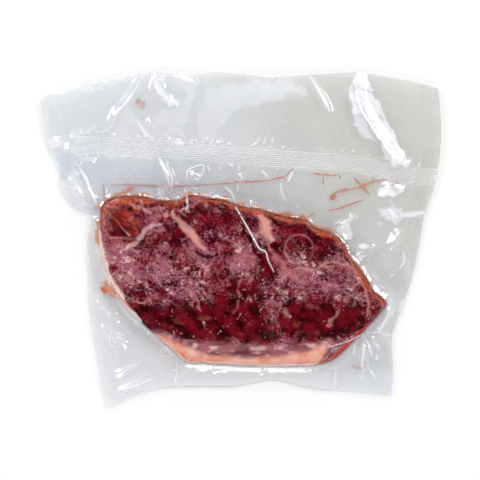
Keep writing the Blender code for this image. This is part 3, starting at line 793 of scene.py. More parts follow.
# %% The sunken corner
def pit_marks(x, y, places):
    """How far a place is in the sunken top left corner, and the painted shade of its folds,
    brown streaks, pale threads and blood there. All but the blood fan out from the corner."""
    pit = bell(x, y, -57.0, 8.0, 8.0, 7.5, power=4)
    corner_x, corner_y = x - PIT_CORNER[0], y - PIT_CORNER[1]
    spokes = np.column_stack([np.arctan2(corner_y, corner_x) * 12.0,
                              np.hypot(corner_x, corner_y) * 0.25])
    return (pit, 0.85 * pit * ramp(cloud(spokes, 1.8, 293, 3), 0.48, 0.6),
            0.6 * pit * ramp(cloud(spokes, 1.5, 297, 3), 0.5, 0.66),
            0.6 * pit * threads(spokes, 2.6, 289, 0.09),
            0.7 * pit * ramp(cloud(places, 4.0, 287, 2), 0.35, 0.7))


# %% All the meat's numbers
def meat_fields(places, unrolled):
    """Every number that the meat's material reads. Marks with a real place use the
    plan, and the noises use the unrolled plan, so that the side isn't streaked."""
    def strokes(marks, soft, *shape, **more):
        return sum_strokes(places, unrolled, marks, soft, *shape, **more)

    x, y = places[:, 0], places[:, 1]
    tone = muscle_tone(x, y, unrolled)
    # Painted glints: small highlights of the wet film, painted pale pink into the meat's colour
    painted_glints = ramp(cloud(unrolled, 1.2, 271, 2), 0.79, 0.9) * ramp(x - y, -40.0, 40.0)
    painted_glints *= ramp(cloud(unrolled, 11.0, 275, 2), 0.3, 0.55)
    crease = strokes(CORNER_CREASES, 0.9, 1.0, 0.8, seed=3)
    cream = np.minimum(strokes(CREAM_LINES, 0.8, 0.7, 0.6, seed=5), 1.0)
    ring_gap = np.hypot(x - RING_MARK[0], y - RING_MARK[1])
    ring = 1.0 - ramp(np.abs(ring_gap - RING_MARK[2]), 0.2, 0.8)
    ring *= 0.05 + 0.4 * cloud(places, 6.0, 295, 2)
    pit, pit_fold_shade, pit_rust, pit_threads, pit_blood = pit_marks(x, y, places)
    cap = below_line(places, MEAT_FAT_LINE, 1.4)
    peach = below_line(places, PEACH_LINE, 1.6)
    band = cap * (1.0 - peach)
    grain = unrolled * np.array([0.16, 1.0])
    # dark: dark marks of the meat, with painted shade beside the film's crease and in the corner's
    # folds
    dark = np.maximum(strokes(DARK_AND_SHADE_MARKS, 0.8, wobble=1.2), pit_fold_shade)
    dark = np.maximum(dark * (1.0 - 0.8 * cap),
                      0.6 * band * ramp(cloud(grain, 1.3, 299, 3), 0.44, 0.62))
    veil = np.maximum(pale_veil(unrolled, tone) * (1.0 - 0.8 * pit), pit_threads)
    veil = np.maximum(veil * (1.0 - cap), 0.8 * band * ramp(cloud(grain, 1.0, 291, 3), 0.44, 0.66))
    veil = np.clip((veil + ring) * (1.0 - dark) + 0.8 * crease, 0.0, 1.0)
    return {
        "tone": np.clip(tone * (1.0 - dark), 0.0, 1.0),
        "veil": veil * (1.0 - 0.85 * cream),
        "rust": np.clip(np.maximum(dried_rust(x, y, places, unrolled), pit_rust), 0.0, 1.0),
        "blood": np.clip(np.maximum(strokes(BLOOD_MARKS, 0.9, 0.5, 0.8), pit_blood), 0.0, 1.0),
        "painted_glint": painted_glints * (1.0 - cap),
        "fat": strokes(FAT_SEAMS, 0.9, 1.1, seed=1),
        "pink": strokes(PINK_SEAMS, 1.0, 0.8, 1.6, seed=2),
        "stain": strokes(TAN_STAINS, 0.9, 1.4, 1.6, seed=4),
        "dark": np.clip(dark, 0.0, 1.0),
        "cap": cap,
        "peach": peach,
        "cream": cream,
    }


# %% Relief of the meat
def meat_relief(unrolled, fields):
    """Fine relief in millimetres: grain of the muscle, raised fat and pale curls."""
    grain = cloud(unrolled, 2.6, 301, 3) - 0.5
    relief = 0.6 * grain + 0.10 * fields["veil"] + 0.22 * fields["fat"]
    relief += 0.7 * (cloud(unrolled, 7.0, 311, 2) - 0.5)
    return relief * (1.0 - 0.6 * fields["cap"])


# %% [markdown]
# ## The steak
# One closed slab: face and side from the nested grid, and an underside of rings that
# shrink from the foot to a centre point. The side bulges a little and its foot flares
# out, because a soft slab spreads where it stands.

# %% Steak mesh
places, unrolled, climb = slab_places(0.0, flare=0.25)
in_rim = closed_distance(places, RIM)
fields = meat_fields(places, unrolled)
FOOT_LIFT = 1.5
top_height = meat_height(places, in_rim) + meat_relief(unrolled, fields)
height = FOOT_LIFT * (1.0 - climb) + top_height * climb
upper = np.column_stack([places, height])
upper_faces = grid_faces(GRID_Y + 1, GRID_X + 1)

border_index = np.arange((GRID_X + 1) * (GRID_Y + 1)).reshape(GRID_Y + 1, GRID_X + 1)
border = np.concatenate([border_index[-1, :-1], border_index[::-1, -1][:-1],
                         border_index[0, ::-1][:-1], border_index[:, 0][:-1]])
UNDER_RINGS = [(0.999, 0.9), (0.96, 0.45), (0.93, 0.3), (0.8, 0.3), (0.55, 0.3), (0.3, 0.3)]
count = len(border)
under = [np.column_stack([MEAT_CENTRE + (upper[border, :2] - MEAT_CENTRE) * share,
                          np.full(count, level)]) for share, level in UNDER_RINGS]
under.append(np.array([[*MEAT_CENTRE, UNDER_RINGS[-1][1]]]))
points = np.vstack([upper] + under)
rings = np.vstack([border, np.arange(len(upper), len(points) - 1).reshape(-1, count)])
fan = np.column_stack([rings[-1], np.roll(rings[-1], -1), np.full(count, len(points) - 1)])
steak = make_piece("beef_slab", points, [upper_faces, ring_quads(rings), fan])
under_fill = len(points) - len(upper)
for field, values in fields.items():
    set_attribute(steak, field, np.concatenate([values, np.full(under_fill, values[0])]))
print("meat means", {field: round(float(values.mean()), 2) for field, values in fields.items()})

# %% [markdown]
# ## The film on the steak
# Under vacuum the film copies the meat's surface a third of a millimetre above it, then
# turns out at the foot in a small fillet. It uses the steak's own grid, moved outwards,
# with upright pleats down its side and six more rings round the foot, so no straight
# facet can cut into the meat. Down to the first ring it is wet and clear.

# %% Film over the meat
FILLET_RINGS = (0.4, 0.8, 1.3, 1.9, 2.5, 3.1)
film_places, film_unrolled, film_climb = slab_places(CLING, PLEAT_DEPTH)
film_in_rim = closed_distance(film_places, RIM)
film_fields = meat_fields(film_places, film_unrolled)
film_foot = margin_heights(film_places)[0]
on_top = meat_height(film_places, film_in_rim) + meat_relief(film_unrolled, film_fields)
film_height = film_foot * (1.0 - film_climb) + (on_top + CLING) * film_climb

film_border = film_places[border]
away = left_of(np.roll(film_border, -3, axis=0) - np.roll(film_border, 3, axis=0))
SMOOTHING = np.hanning(41) / np.hanning(41).sum()
wrapped = np.vstack([away[-20:], away, away[:20]])
away = np.column_stack([np.convolve(wrapped[:, k], SMOOTHING, "valid") for k in (0, 1)])
fillet_places = np.vstack([film_border + away * step for step in FILLET_RINGS])
fillet_height = margin_heights(fillet_places)[0]
steak_film_points = np.vstack([np.column_stack([film_places, film_height]),
                               np.column_stack([fillet_places, fillet_height])])
rings = np.vstack([border, np.arange(len(film_places),
                                     len(steak_film_points)).reshape(-1, count)])
steak_film = make_piece("steak_film", steak_film_points,
                        [upper_faces, ring_quads(rings, outwards=True)])
clear_steps = np.repeat(1.0 - ramp(np.array(FILLET_RINGS), 0.4, 1.6), count)
contact = np.concatenate([np.ones(len(film_places)), clear_steps])

# %% [markdown]
# ## The margins
# Round the steak the film is a ring-shaped patch: its inner loop is the last fillet
# ring and its outer loop is the pouch's outline below the band. Lines run straight
# between the two loops, as the real tension folds do.

# %% Margin film
MARGIN_ROWS = 56
inner_loop = fillet_places[-count:]
lower_right = right_up[:BAND_LOW_RIGHT + 1][::-1]
bottom_right_to_left = smooth_curve(BOTTOM_EDGE, 0.5)[::-1]
left_up = left_down[BAND_LOW_LEFT:][::-1]
NOTCH = cut_near(left_up, (-74.6, 12.0))
outer_loop = np.vstack([
    resample(band_low, GRID_X + 1)[:-1],
    resample(lower_right, GRID_Y + 1)[:-1],
    resample(bottom_right_to_left, GRID_X + 1)[:-1],
    resample(left_up[:NOTCH + 1], GRID_Y - FAN + 1)[:-1],
    resample(left_up[NOTCH:], FAN + 1)[:-1],
])
reach = np.linspace(0.0, 1.0, MARGIN_ROWS + 1)[:, None, None]
margin_places = (inner_loop[None] * (1 - reach) + outer_loop[None] * reach).reshape(-1, 2)
margin_height = margin_heights(margin_places)[0]
rings = np.arange((MARGIN_ROWS + 1) * count).reshape(MARGIN_ROWS + 1, count)
margin = make_piece("margin_film", np.column_stack([margin_places, margin_height]),
                    [ring_quads(rings, outwards=True)])

# %% [markdown]
# ## The lower ply
# The back of the pouch is one sheet. It lies flat under the steak and follows the
# folds more weakly than the upper ply does, as a sheet that rests on a table does.

# %% Back film
BACK_COLUMNS = 300
BACK_ROWS = 230
back_places = edge_patch(resample(bottom_right_to_left[::-1], BACK_COLUMNS),
                         resample(top_right_to_left[::-1], BACK_COLUMNS),
                         resample(left_down[::-1], BACK_ROWS),
                         resample(right_up, BACK_ROWS))
back_height = margin_heights(back_places, seed=8)[1]
back = make_piece("back_film", np.column_stack([back_places, back_height]),
                  [grid_faces(BACK_ROWS, BACK_COLUMNS)[:, ::-1]])

# %% [markdown]
# ## Haze and painted light of the film
# Clear film turns milky where it is bent hard or where two plies are fused. White
# highlights where folds mirror the lamps, soft sheens, and brighter film round the steak
# are painted in with that haze. Five numbers per point say how it looks: haze with
# painted highlights on creases, facets and ribs, contact where the film is wet on the meat
# and almost vanishes, seal along the fused sides, a painted warm tint of the light towards
# the upper right, and juice that has crept between the plies.

# %% Creases, whitened and painted with highlights: route, half-width, strength
CREASE_WHITENING_AND_HIGHLIGHTS = [
    ([(-2.5, 16.2), (1.2, 10), (6.8, 0), (9.3, -4.3), (12.1, -5.6), (13.7, -10.5), (16.2, -15.5)],
     0.62, 1.2),
    ([(-49, 82.9), (-51.7, 76.4), (-56.7, 68.7), (-61.2, 63.9), (-65.7, 55.7), (-71.7, 53.9)],
     0.6, 0.85),
    ([(34.7, 81.4), (44.7, 63.9)], 1, 0.9),
    ([(-80.2, 36), (-76.2, 28), (-71.2, 16)], 0.95, 0.95),
    ([(-40.7, 41), (-38.7, 37.5), (-35.2, 27.5)], 1.15, 0.8),
    ([(-37.2, 38.5), (-34.2, 31), (-34.7, 25)], 0.7, 0.6),
    ([(-51.7, 59.9), (-48.7, 54.9), (-43.7, 50.4)], 1.5, 0.95),
    ([(80, 12.3), (86, 12.8), (92, 13.8)], 2, 0.6),
    ([(-36.7, 82.9), (-22.2, 77.4)], 0.5, 0.7),
    ([(-22.2, 82.9), (-20.7, 78.4)], 0.5, 0.8),
    ([(-24.7, 50.4), (-24.2, 48)], 0.6, 0.6),
    ([(-19.7, 49), (-17.2, 50.9)], 0.9, 0.7),
    ([(-15.2, 48), (-13.7, 50.9)], 0.8, 0.7),
    ([(-10.2, 51.4), (-8.7, 48.5)], 0.9, 0.8),
    ([(4.7, 47), (8.2, 49), (9.2, 50.9)], 0.8, 0.7),
    ([(11.7, 48), (12.7, 50.9)], 0.7, 0.5),
    ([(15.7, 49), (16.2, 50.9)], 0.6, 0.5),
    ([(-16.2, 37.5), (-15.7, 34.5)], 0.6, 0.6),
    ([(-10.7, 37.5), (-10.7, 35)], 0.6, 0.5),
    ([(-5.2, 38), (-3.7, 37)], 0.7, 0.7),
    ([(-1.2, 37.5), (-0.7, 35)], 0.6, 0.6),
    ([(10.7, 35), (13.7, 31.5)], 0.9, 0.7),
    ([(-26.7, 31), (-26.2, 35), (-22.2, 37), (-18.7, 37.5), (-18.7, 34), (-20.2, 31)], 0.6, 0.75),
    ([(-7.7, 26.5), (-4.7, 24), (-2.7, 19.5)], 1, 0.8),
    ([(-1.2, 28), (-1.2, 24.5)], 0.6, 0.6),
    ([(26.2, 34.5), (23.7, 29)], 0.9, 0.9),
    ([(20.2, 29), (20.7, 24), (22.7, 20)], 0.6, 0.7),
    ([(-28.2, 26), (-26.7, 22), (-25.7, 17.5)], 0.9, 0.85),
    ([(-67.2, 26.5), (-66.7, 21)], 0.8, 0.8),
    ([(-83.7, 41), (-81.2, 37), (-77.2, 41), (-71.7, 41), (-70.7, 45)], 0.5, 0.5),
    ([(-82.2, 44), (-78.2, 40), (-72.2, 40)], 0.4, 0.5),
    ([(-66.2, -39), (-63.7, -33), (-61.7, -37), (-59.7, -39), (-66.2, -39)], 0.5, 0.7),
    ([(-64.2, -45), (-65.7, -50), (-63.7, -53.4), (-60.7, -53.4)], 0.6, 0.8),
    ([(-62.2, -49), (-55.2, -46)], 0.6, 0.6),
    ([(-40.7, -57.4), (-38.2, -53.9), (-34.7, -58.4), (-40.7, -57.9)], 0.55, 0.8),
    ([(-63.2, -67.9), (-58.2, -65.4), (-53.2, -62.9), (-50.2, -60.4)], 0.7, 0.8),
    ([(-60.2, -64.9), (-52.2, -61.4)], 0.6, 0.7),
    ([(-61.2, -72.4), (-53.2, -70.4), (-46.7, -66.9)], 0.8, 0.6),
    ([(-32.2, -58.9), (-31.7, -65.9), (-33.7, -73.9)], 0.6, 0.8),
    ([(-58.2, -32.5), (-56.2, -37.5), (-49.2, -43.5), (-41.7, -48.5)], 0.6, 0.8),
    ([(-76.2, -23), (-68.2, -22.5)], 0.8, 0.4),
    ([(61.2, -46), (68.7, -46), (72.7, -39), (75.7, -30)], 0.7, 0.7),
    ([(73.7, -32.5), (69.7, -42.5)], 0.9, 0.5),
    ([(61.2, -47), (61.7, -52.4), (60.7, -63.9)], 0.7, 0.9),
    ([(61.2, -47), (64.2, -52.4), (65.7, -58.4)], 0.9, 0.95),
    ([(57.2, -52.4), (56.7, -57.4)], 1.1, 0.85),
    ([(64.7, -64.9), (67.2, -68.4)], 1.1, 0.9),
    ([(44.7, -51.9), (52.2, -50), (60.2, -46.5)], 0.6, 0.8),
    ([(47.7, -65.9), (46.7, -75.4)], 1.5, 0.5),
    ([(39.7, -65.9), (38.7, -73.9)], 1.3, 0.5),
    ([(42.7, -64.4), (48.7, -64.4)], 0.8, 0.6),
    ([(81.7, -30), (79.7, -36)], 1.5, 0.5),
    ([(65.7, -45.5), (75.7, -48)], 0.8, 0.6),
    ([(69.7, -22.5), (72.7, -25)], 0.9, 0.6),
    ([(47.2, 8), (50.2, 10)], 0.9, 0.7),
    ([(65.7, -17), (68.7, -19.5)], 0.7, 0.6),
    ([(74.7, -18), (76.7, -17.5)], 0.7, 0.6),
    ([(71.2, -27), (72.7, -27)], 0.5, 0.5),
    ([(79.7, -14), (81.7, -11), (81.7, -6)], 1.2, 0.35),
    ([(-69.4, 7), (-69.3, -2), (-68, -12), (-65.4, -19.5), (-61.6, -25.5), (-57.2, -32)],
     1.1, 0.85),
    ([(-24.2, -60.9), (-12.7, -61.9), (4.7, -62.4), (29.7, -61.9), (39.7, -60.9)], 0.6, 0.7),
    ([(41.7, -58.9), (44.7, -54.4), (49.7, -52.4)], 0.5, 0.75),
]
print("creases", len(CREASE_WHITENING_AND_HIGHLIGHTS))

# %% Painted highlight facets: corners, softness, strength, and the painted glow below the steak
PAINTED_HIGHLIGHT_FACETS = [
    ([(-60, -29), (-51, -38.5), (-42, -47.5), (-45, -49.5), (-57, -38)], 1.2, 0.5),
    ([(57.2, 83.4), (61.7, 83.4), (66.2, 73.9), (55.7, 78.9)], 0.5, 0.9),
    ([(55.7, 77.9), (65.7, 72.4), (69.7, 66.9), (73.7, 58.9), (77.7, 50), (81.7, 43.5),
     (84.2, 37), (82.7, 35.5), (77.7, 38), (71.7, 44), (67.7, 50.9), (63.7, 57.9), (59.7, 61.9),
     (56.2, 63.9), (54.7, 72.4)], 0.8, 0.95),
    ([(56.2, 63.9), (60.7, 60.9), (63.7, 55.9), (67.7, 47), (64.7, 50), (56.2, 56.4)], 1.2, 0.4),
    ([(-44.7, 83.4), (-37.2, 83.4), (-37.7, 77.9), (-36.2, 72.9), (-30.2, 69.4), (-32.2, 67.4),
     (-36.7, 67.4), (-41.2, 72.9), (-43.2, 77.4)], 0.8, 0.95),
    ([(-99.7, 50.4), (-88.2, 51.4), (-90.2, 47), (-95.2, 46), (-98.2, 47)], 0.8, 0.85),
    ([(-83.7, 54.9), (-76.2, 55.4), (-77.2, 51.4), (-84.2, 51.9)], 0.7, 0.8),
    ([(-88.2, 30), (-83.2, 36), (-81.2, 31), (-78.2, 22), (-82.2, 24), (-88.2, 27)], 1.2, 0.6),
    ([(70, 24.5), (72.5, 28), (80, 28), (81, 24), (77, 21.5), (71, 22)], 0.7, 0.95),
    ([(70, 15), (77, 17), (81, 13), (79, 8.5), (75, 9.5), (71, 11)], 0.8, 0.95),
    ([(75.7, 5.5), (79.7, 5.5), (78.2, -1)], 0.6, 0.85),
    ([(47, 6), (55.5, 10.5), (54.7, 5), (56, -1), (50.7, 2)], 0.7, 0.8),
    ([(-36, 83.5), (-24, 83), (-20.5, 78), (-24, 66), (-28.5, 50.5), (-38, 52), (-44, 60),
     (-40, 66), (-31, 67), (-27, 72)], 3.5, 0.36),
    ([(54.7, -9), (57.7, -6.5), (62.7, -8), (59.7, -11), (55.7, -10.5)], 0.6, 0.8),
    ([(-41, 26.5), (-36, 27), (-35.8, 23.5), (-40, 23)], 1.3, 0.8),
    ([(-37.7, 52.9), (-34.2, 50.9), (-30.2, 50.9), (-29.7, 48.5), (-34.2, 48)], 0.6, 0.85),
    ([(-22.2, 49.9), (-21.2, 62.4), (-16.7, 74.9), (-0.2, 76.9), (24.7, 77.9), (31.7, 73.9),
     (6.7, 68.9), (-4.2, 63.9), (-10.7, 54.9), (-14.2, 50)], 8, 0.4),
    ([(-77, 13), (-69, 12), (-69, -24), (-58, -35), (-30, -60), (-33, -74), (-68, -86),
     (-77, -30)], 3, 0.28),
    ([(-66.2, -66.9), (-61.2, -71.9), (-45.2, -65.9), (-35.2, -72.9), (-60.2, -80.9),
     (-67.2, -81.9)], 3, 0.2),
    ([(-89.2, 73.9), (-75.2, 73.9), (-60.2, 78.9), (-53.2, 81.4), (-70.2, 77.9), (-88.2, 75.9)],
     1, 0.45),
    ([(-89.2, 30), (-78.2, 22), (-74.2, 16), (-82.2, 16), (-89.2, 23)], 2, 0.3),
]
PAINTED_GLOW_BELOW_STEAK = [(-31.2, -62.4), (44.7, -64.4), (44.7, -80.4), (-31.2, -78.9)]
print("facets", len(PAINTED_HIGHLIGHT_FACETS))

# %% Juice smears in the film: corners
JUICE_SMEARS = [
    [(-68.8, -20.5), (-66, -20), (-61.8, -26), (-60.5, -28.8), (-64, -27.8), (-68.4, -25.5)],
    [(-73.5, 16.6), (-70.6, 14.8), (-66.5, 19.2), (-59, 21.8), (-52, 26.8), (-55, 26.9),
     (-62, 23.4), (-68.5, 20)],
]


# %% Painted highlights on creases and facets
def facet(places, corners, soft):
    """1 inside a small closed outline of the film and 0 outside it, over a soft edge."""
    loop = np.array(corners, dtype=float)
    value = np.zeros(len(places))
    near = near_box(places, loop, 2.0 * soft)
    value[near] = ramp(closed_distance(places[near], loop), -soft, soft)
    return value


def creases_and_painted_highlights(places, uneven):
    """Painted highlight facets with streaks cut out of the strong ones, then the crease
    lines, whitened film with painted highlights. The streaks run along slanted places,
    which are handed back for the painted sheen."""
    haze_and_highlight = np.zeros(len(places))
    for corners, soft, strength in PAINTED_HIGHLIGHT_FACETS:
        haze_and_highlight = np.maximum(haze_and_highlight, strength * facet(places + 4.5 * uneven, corners, soft))
    slanted = places @ np.array([[0.87, 0.5 * 0.3], [0.5, -0.87 * 0.3]])
    streak = cloud(slanted + uneven, 2.5, 641, 3)
    haze_and_highlight *= 1.0 - 0.75 * ramp(streak, 0.46, 0.68) * ramp(haze_and_highlight, 0.3, 0.6)
    for route, half_width, strength in CREASE_WHITENING_AND_HIGHLIGHTS:
        haze_and_highlight = np.maximum(haze_and_highlight, strength * stroke(places, route, half_width, 0.8, 0.6))
    # painted sheen in streaks along the slant
    painted_sheen_streaks = ramp(cloud(slanted, 9.0, 691, 3), 0.52, 0.74) * ramp(streak, 0.4, 0.6)
    return haze_and_highlight, painted_sheen_streaks


# %% Broad haze and painted light, and juice between the plies
def broad_haze_and_painted_light(places, beyond, contact, painted_sheen_streaks, calm):
    """Broad painted light on the film: painted silver sheen in clouds and streaks, less of it
    towards the upper right and between the steak and the band, a painted glow under the
    steak, the band and header painted lighter, the lower margin painted lighter, and painted
    light with a painted bright edge just outside the steak's foot, where its shade falls."""
    y = places[:, 1]
    # painted silver sheen in soft clouds
    painted_silver_sheen = ramp(cloud(places * np.array([1.0, 0.6]), 26.0, 671, 3), 0.45, 0.72)
    between = ramp(12.0 - np.abs(y - 32.0), 0.0, 8.0)
    # painted light round the steak's foot, and a painted highlight on its edge
    painted_skirt_light = np.exp(-np.clip(beyond, 0.0, None) / 6.0) * ramp(beyond, 0.0, 0.35)
    edge = np.exp(-np.clip(beyond - 0.4, 0.0, None) / 0.7) * ramp(beyond, 0.0, 0.3)
    return np.max([
        0.6 * facet(places, PAINTED_GLOW_BELOW_STEAK, 4.0),
        (0.24 * painted_silver_sheen + 0.14 * painted_sheen_streaks) * (1.0 - contact)
        * (1.0 - 0.6 * np.maximum(calm, between)),
        0.17 * ramp(y, 38.0, 46.0) * (1.0 - 0.6 * calm),
        0.16 * ramp(-y, 56.0, 70.0),
        painted_skirt_light * (0.15 + 0.3 * ramp(-y, 0.0, 25.0)),
        edge * (0.25 + 0.5 * ramp(-y, -5.0, 15.0)),
    ], axis=0)


def juice_share(places, uneven, beyond):
    """Juice between the plies: a thin line at the brown rim, patches a little further
    out and two smears, all of it outside the steak's foot."""
    line = smooth_curve(RUST_LINE, 2.0)
    gap = nearest_on_path(places + 4.5 * uneven, line)[0]
    juice = (1.0 - ramp(gap, 0.4, 2.6)) * ramp(beyond, 0.1, 0.5)
    juice *= ramp(cloud(places, 3.2, 655, 3), 0.3, 0.6)
    juice = np.maximum(juice, (1.0 - ramp(gap, 0.9, 1.6)) * ramp(beyond, 0.0, 0.3))
    for corners in JUICE_SMEARS:
        smear = facet(places + uneven, corners, 0.7) * ramp(beyond, 0.0, 0.3)
        juice = np.maximum(juice, 0.9 * smear)
    return juice


# %% All the film's numbers
def film_numbers(piece, places, contact, rib=0.0):
    """Haze with painted highlights and painted light, contact, seal, a painted warm tint of
    the light and juice per point. Where the film is wet on the meat nothing counts as
    beyond the foot. Close round the meat the haze number is broken up."""
    uneven = drift(places, 4.0, (611, 623))
    haze_and_highlight, painted_sheen_streaks = creases_and_painted_highlights(places, uneven)
    side_gap = np.minimum(nearest_on_path(places, left_down[::8])[0],
                          nearest_on_path(places, right_up[::8])[0])
    haze_and_highlight = np.maximum(haze_and_highlight, 0.1 * (1.0 - ramp(np.abs(side_gap - SIDE_SEAL), 0.2, 0.9)))
    beyond = -closed_distance(places, FOOT)
    beyond = np.where(contact >= 1.0, np.minimum(beyond, 0.0), beyond)
    calm = ramp(0.8 * places[:, 0] + 0.6 * places[:, 1], 20.0, 60.0)
    haze_and_highlight = np.maximum(haze_and_highlight, broad_haze_and_painted_light(places, beyond, contact, painted_sheen_streaks, calm))
    broken = ramp(threads(places, 5.0, 681, 0.4), 0.2, 0.8)
    haze_and_highlight *= 1.0 - ramp(-beyond, 0.2, 1.5) * (1.0 - ramp(-beyond, 6.0, 7.0)) * 0.7 * (1.0 - broken)
    # painted warm tint of the light towards the upper right and the header
    painted_light_warmth = ramp(0.8 * places[:, 0] + 0.6 * places[:, 1], -45.0, 85.0)
    painted_light_warmth += 0.35 * (1.0 - painted_light_warmth) * ramp(places[:, 1], 38.0, 55.0)
    # the haze number carries painted highlights and painted light as well as milky film
    set_attribute(piece, "haze_and_highlight", np.maximum(haze_and_highlight, rib))
    set_attribute(piece, "contact", contact)
    set_attribute(piece, "seal", 1.0 - ramp(side_gap, SIDE_SEAL - 0.4, SIDE_SEAL))
    set_attribute(piece, "painted_light_warmth", painted_light_warmth)
    set_attribute(piece, "juice", juice_share(places, uneven, beyond))
    print(piece.name, "mean haze", round(float(haze_and_highlight.mean()), 3))


# %% Numbers on each strip of film
def rib_haze_and_highlights(places):
    """Whitish crests of the seal's ribs, uneven along the band: the fused film's own white,
    with a painted highlight on each crest.
    """
    rib, _ = seal_rib(*nearest_on_path(places, SEAL_CENTRE))
    return np.clip(rib / SEAL_RIB_HEIGHT, 0.0, 1.0) * (0.2 + 0.3 * cloud(places, 30.0, 661, 2))


film_numbers(header, header_places, np.zeros(len(header_places)))
film_numbers(band, band_places, np.zeros(len(band_places)), rib_haze_and_highlights(band_places))
film_numbers(margin, margin_places, np.zeros(len(margin_places)))
film_numbers(steak_film, steak_film_points[:, :2], contact)
film_numbers(back, back_places, ramp(closed_distance(back_places, FOOT), 0.0, 3.0))

# %% [markdown]
# ## Juice between the plies
# Red-brown juice has run into the folds and dried to thin threads and a few spots. A
# thread is a tube with an uneven width, flattened against the film, that follows the
# film's height. A spot is a low dome.

# %% Juice threads: route, half-width
JUICE_THREADS = [
    ([(-65.9, 27.8), (-55.8, 27.8), (-45.6, 27.2), (-35.4, 26.8), (-26.4, 27.2), (-16.9, 27.8)],
     0.42),
    ([(-16.9, 27.8), (-7.3, 28.4), (0.3, 29.1), (9.7, 29.6), (17.7, 30.7), (21.7, 31.7),
     (24.2, 33.7), (26.7, 35.7)], 0.5),
    ([(-68.7, 28), (-68.4, 23), (-68.7, 17)], 0.45),
    ([(-54.5, 26.8), (-57, 23.6), (-60.8, 21.7), (-64.4, 19.5)], 0.5),
    ([(36, 33.6), (38.7, 33), (41.4, 32.8), (45.2, 32.5), (49.2, 32.8)], 0.5),
    ([(41.7, 32.5), (41.4, 27.6)], 0.4),
    ([(49.2, 32.8), (49.8, 30.9)], 0.35),
    ([(56.6, 30.9), (60.3, 27.1), (64.7, 22.2)], 0.6),
    ([(45.7, 23), (52.2, 24.9), (59.8, 26.6), (65.2, 28.7), (70.1, 30.1), (73.9, 30.1)], 0.65),
    ([(-71.2, 15), (-68.2, 19.4), (-63.2, 22.4), (-57, 23.8)], 0.8),
    ([(-73, 17), (-69.5, 14)], 0.6),
    ([(-69.3, -20.5), (-68.6, -24.5), (-64.5, -27), (-60.9, -29)], 1.9),
    ([(-69, -26), (-65.5, -27.5), (-62, -29)], 1.3),
    ([(30.6, 9.8), (34, 11.8), (37, 13.4)], 0.35),
    ([(44.1, 14.6), (50.1, 16), (56.6, 18.4), (62, 20.3)], 0.4),
    ([(71.2, 26), (75, 27.6), (78.2, 27.9)], 0.45),
    ([(54.3, -62.1), (58.1, -63.7), (61.9, -63.7)], 0.45),
]
JUICE_SPOTS = [(-51.2, 69.3, 1.5), (-49, 67.2, 1.5), (-48.2, 69.2, 0.8), (-62.8, 62.2, 0.7),
    (46.3, 21.7, 1.6), (78.4, 28, 0.9)]
THREAD_SIDES = 8
THREAD_DEPTH = 0.38
SPOT_SIDES = 28


# %% A thread and a spot
def thread_tube(route, half_width, seed):
    """A closed tube along a route: an ellipse three times as wide as high, whose width
    follows a noise along the length and shrinks to a point at both ends."""
    path = smooth_curve(route, 0.5)
    n = len(path)
    normal = left_of(np.gradient(path, axis=0))
    along = np.linspace(0.0, 1.0, n)
    noise = lattice_noise(np.column_stack([along * n, np.full(n, seed * 3.7)]), 5.0, seed)
    path = path + normal * ((noise - 0.5) * 0.5)[:, None]
    width = half_width * (0.4 + 1.2 * noise) * np.sqrt(np.sin(math.pi * (0.02 + 0.96 * along)))
    upper, _, _ = margin_heights(path)
    turn = np.arange(THREAD_SIDES) * 2 * math.pi / THREAD_SIDES
    offset = np.cos(turn)[None, :, None] * normal[:, None, :] * width[:, None, None]
    xy = path[:, None, :] + offset
    z = upper[:, None] - THREAD_DEPTH + np.sin(turn)[None, :] * width[:, None] * 0.3
    ring = np.arange(n * THREAD_SIDES).reshape(n, THREAD_SIDES)
    caps = [ring[0], ring[-1][::-1]]
    return np.column_stack([xy.reshape(-1, 2), z.ravel()]), ring_quads(ring)[:, ::-1], caps


def juice_spot(x, y, radius, seed):
    """A drop pressed flat: a low dome with an uneven round outline, closed below."""
    turn = np.arange(SPOT_SIDES) * 2 * math.pi / SPOT_SIDES
    around = np.stack([np.cos(turn), np.sin(turn)], axis=-1)
    shares = np.array([1.0, 0.85, 0.55, 0.25])
    reach = radius * (0.7 + 0.6 * lattice_noise(around * 3.0, 1.6, seed))
    xy = np.array([x, y]) + around[None] * (shares[:, None] * reach[None])[..., None]
    level = margin_heights(np.array([[x, y]]))[0][0] - 0.4
    z = level + 0.16 * (1.0 - shares ** 2)[:, None] + np.zeros(SPOT_SIDES)
    ring = np.arange(z.size).reshape(z.shape)
    caps = [ring[-1], ring[0][::-1]]
    return np.column_stack([xy.reshape(-1, 2), z.ravel()]), ring_quads(ring), caps


# %% Join the threads and spots
juice_points = []
juice_faces = []
offset = 0
parts = [thread_tube(*thread, seed) for seed, thread in enumerate(JUICE_THREADS, 400)]
parts += [juice_spot(*spot, seed) for seed, spot in enumerate(JUICE_SPOTS, 500)]
for points, faces, caps in parts:
    juice_faces += [faces + offset] + [cap[None] + offset for cap in caps]
    juice_points.append(points)
    offset += len(points)
juice = make_piece("juice_threads", np.vstack(juice_points), juice_faces)

# %% [markdown]
# ## Finishes
# Every material is a small node tree, which reads the numbers stored on the points. A
# helper adds a node and links its inputs, so that each recipe below is a list of steps.


# %% Node helpers
def new_tree(name):
    """An empty node tree for a material, with its output node."""
    material = bpy.data.materials.new(name)
    material.use_nodes = True
    tree = material.node_tree
    tree.nodes.clear()
    return material, tree, tree.nodes.new("ShaderNodeOutputMaterial")


def feed(tree, socket, value):
    """Link an output into a socket, or set the socket's own value."""
    if isinstance(value, bpy.types.NodeSocket):
        tree.links.new(value, socket)
    else:
        socket.default_value = value


def number(tree, name):
    """A number stored per point under a name."""
    node = tree.nodes.new("ShaderNodeAttribute")
    node.attribute_name = name
    return node.outputs["Fac"]


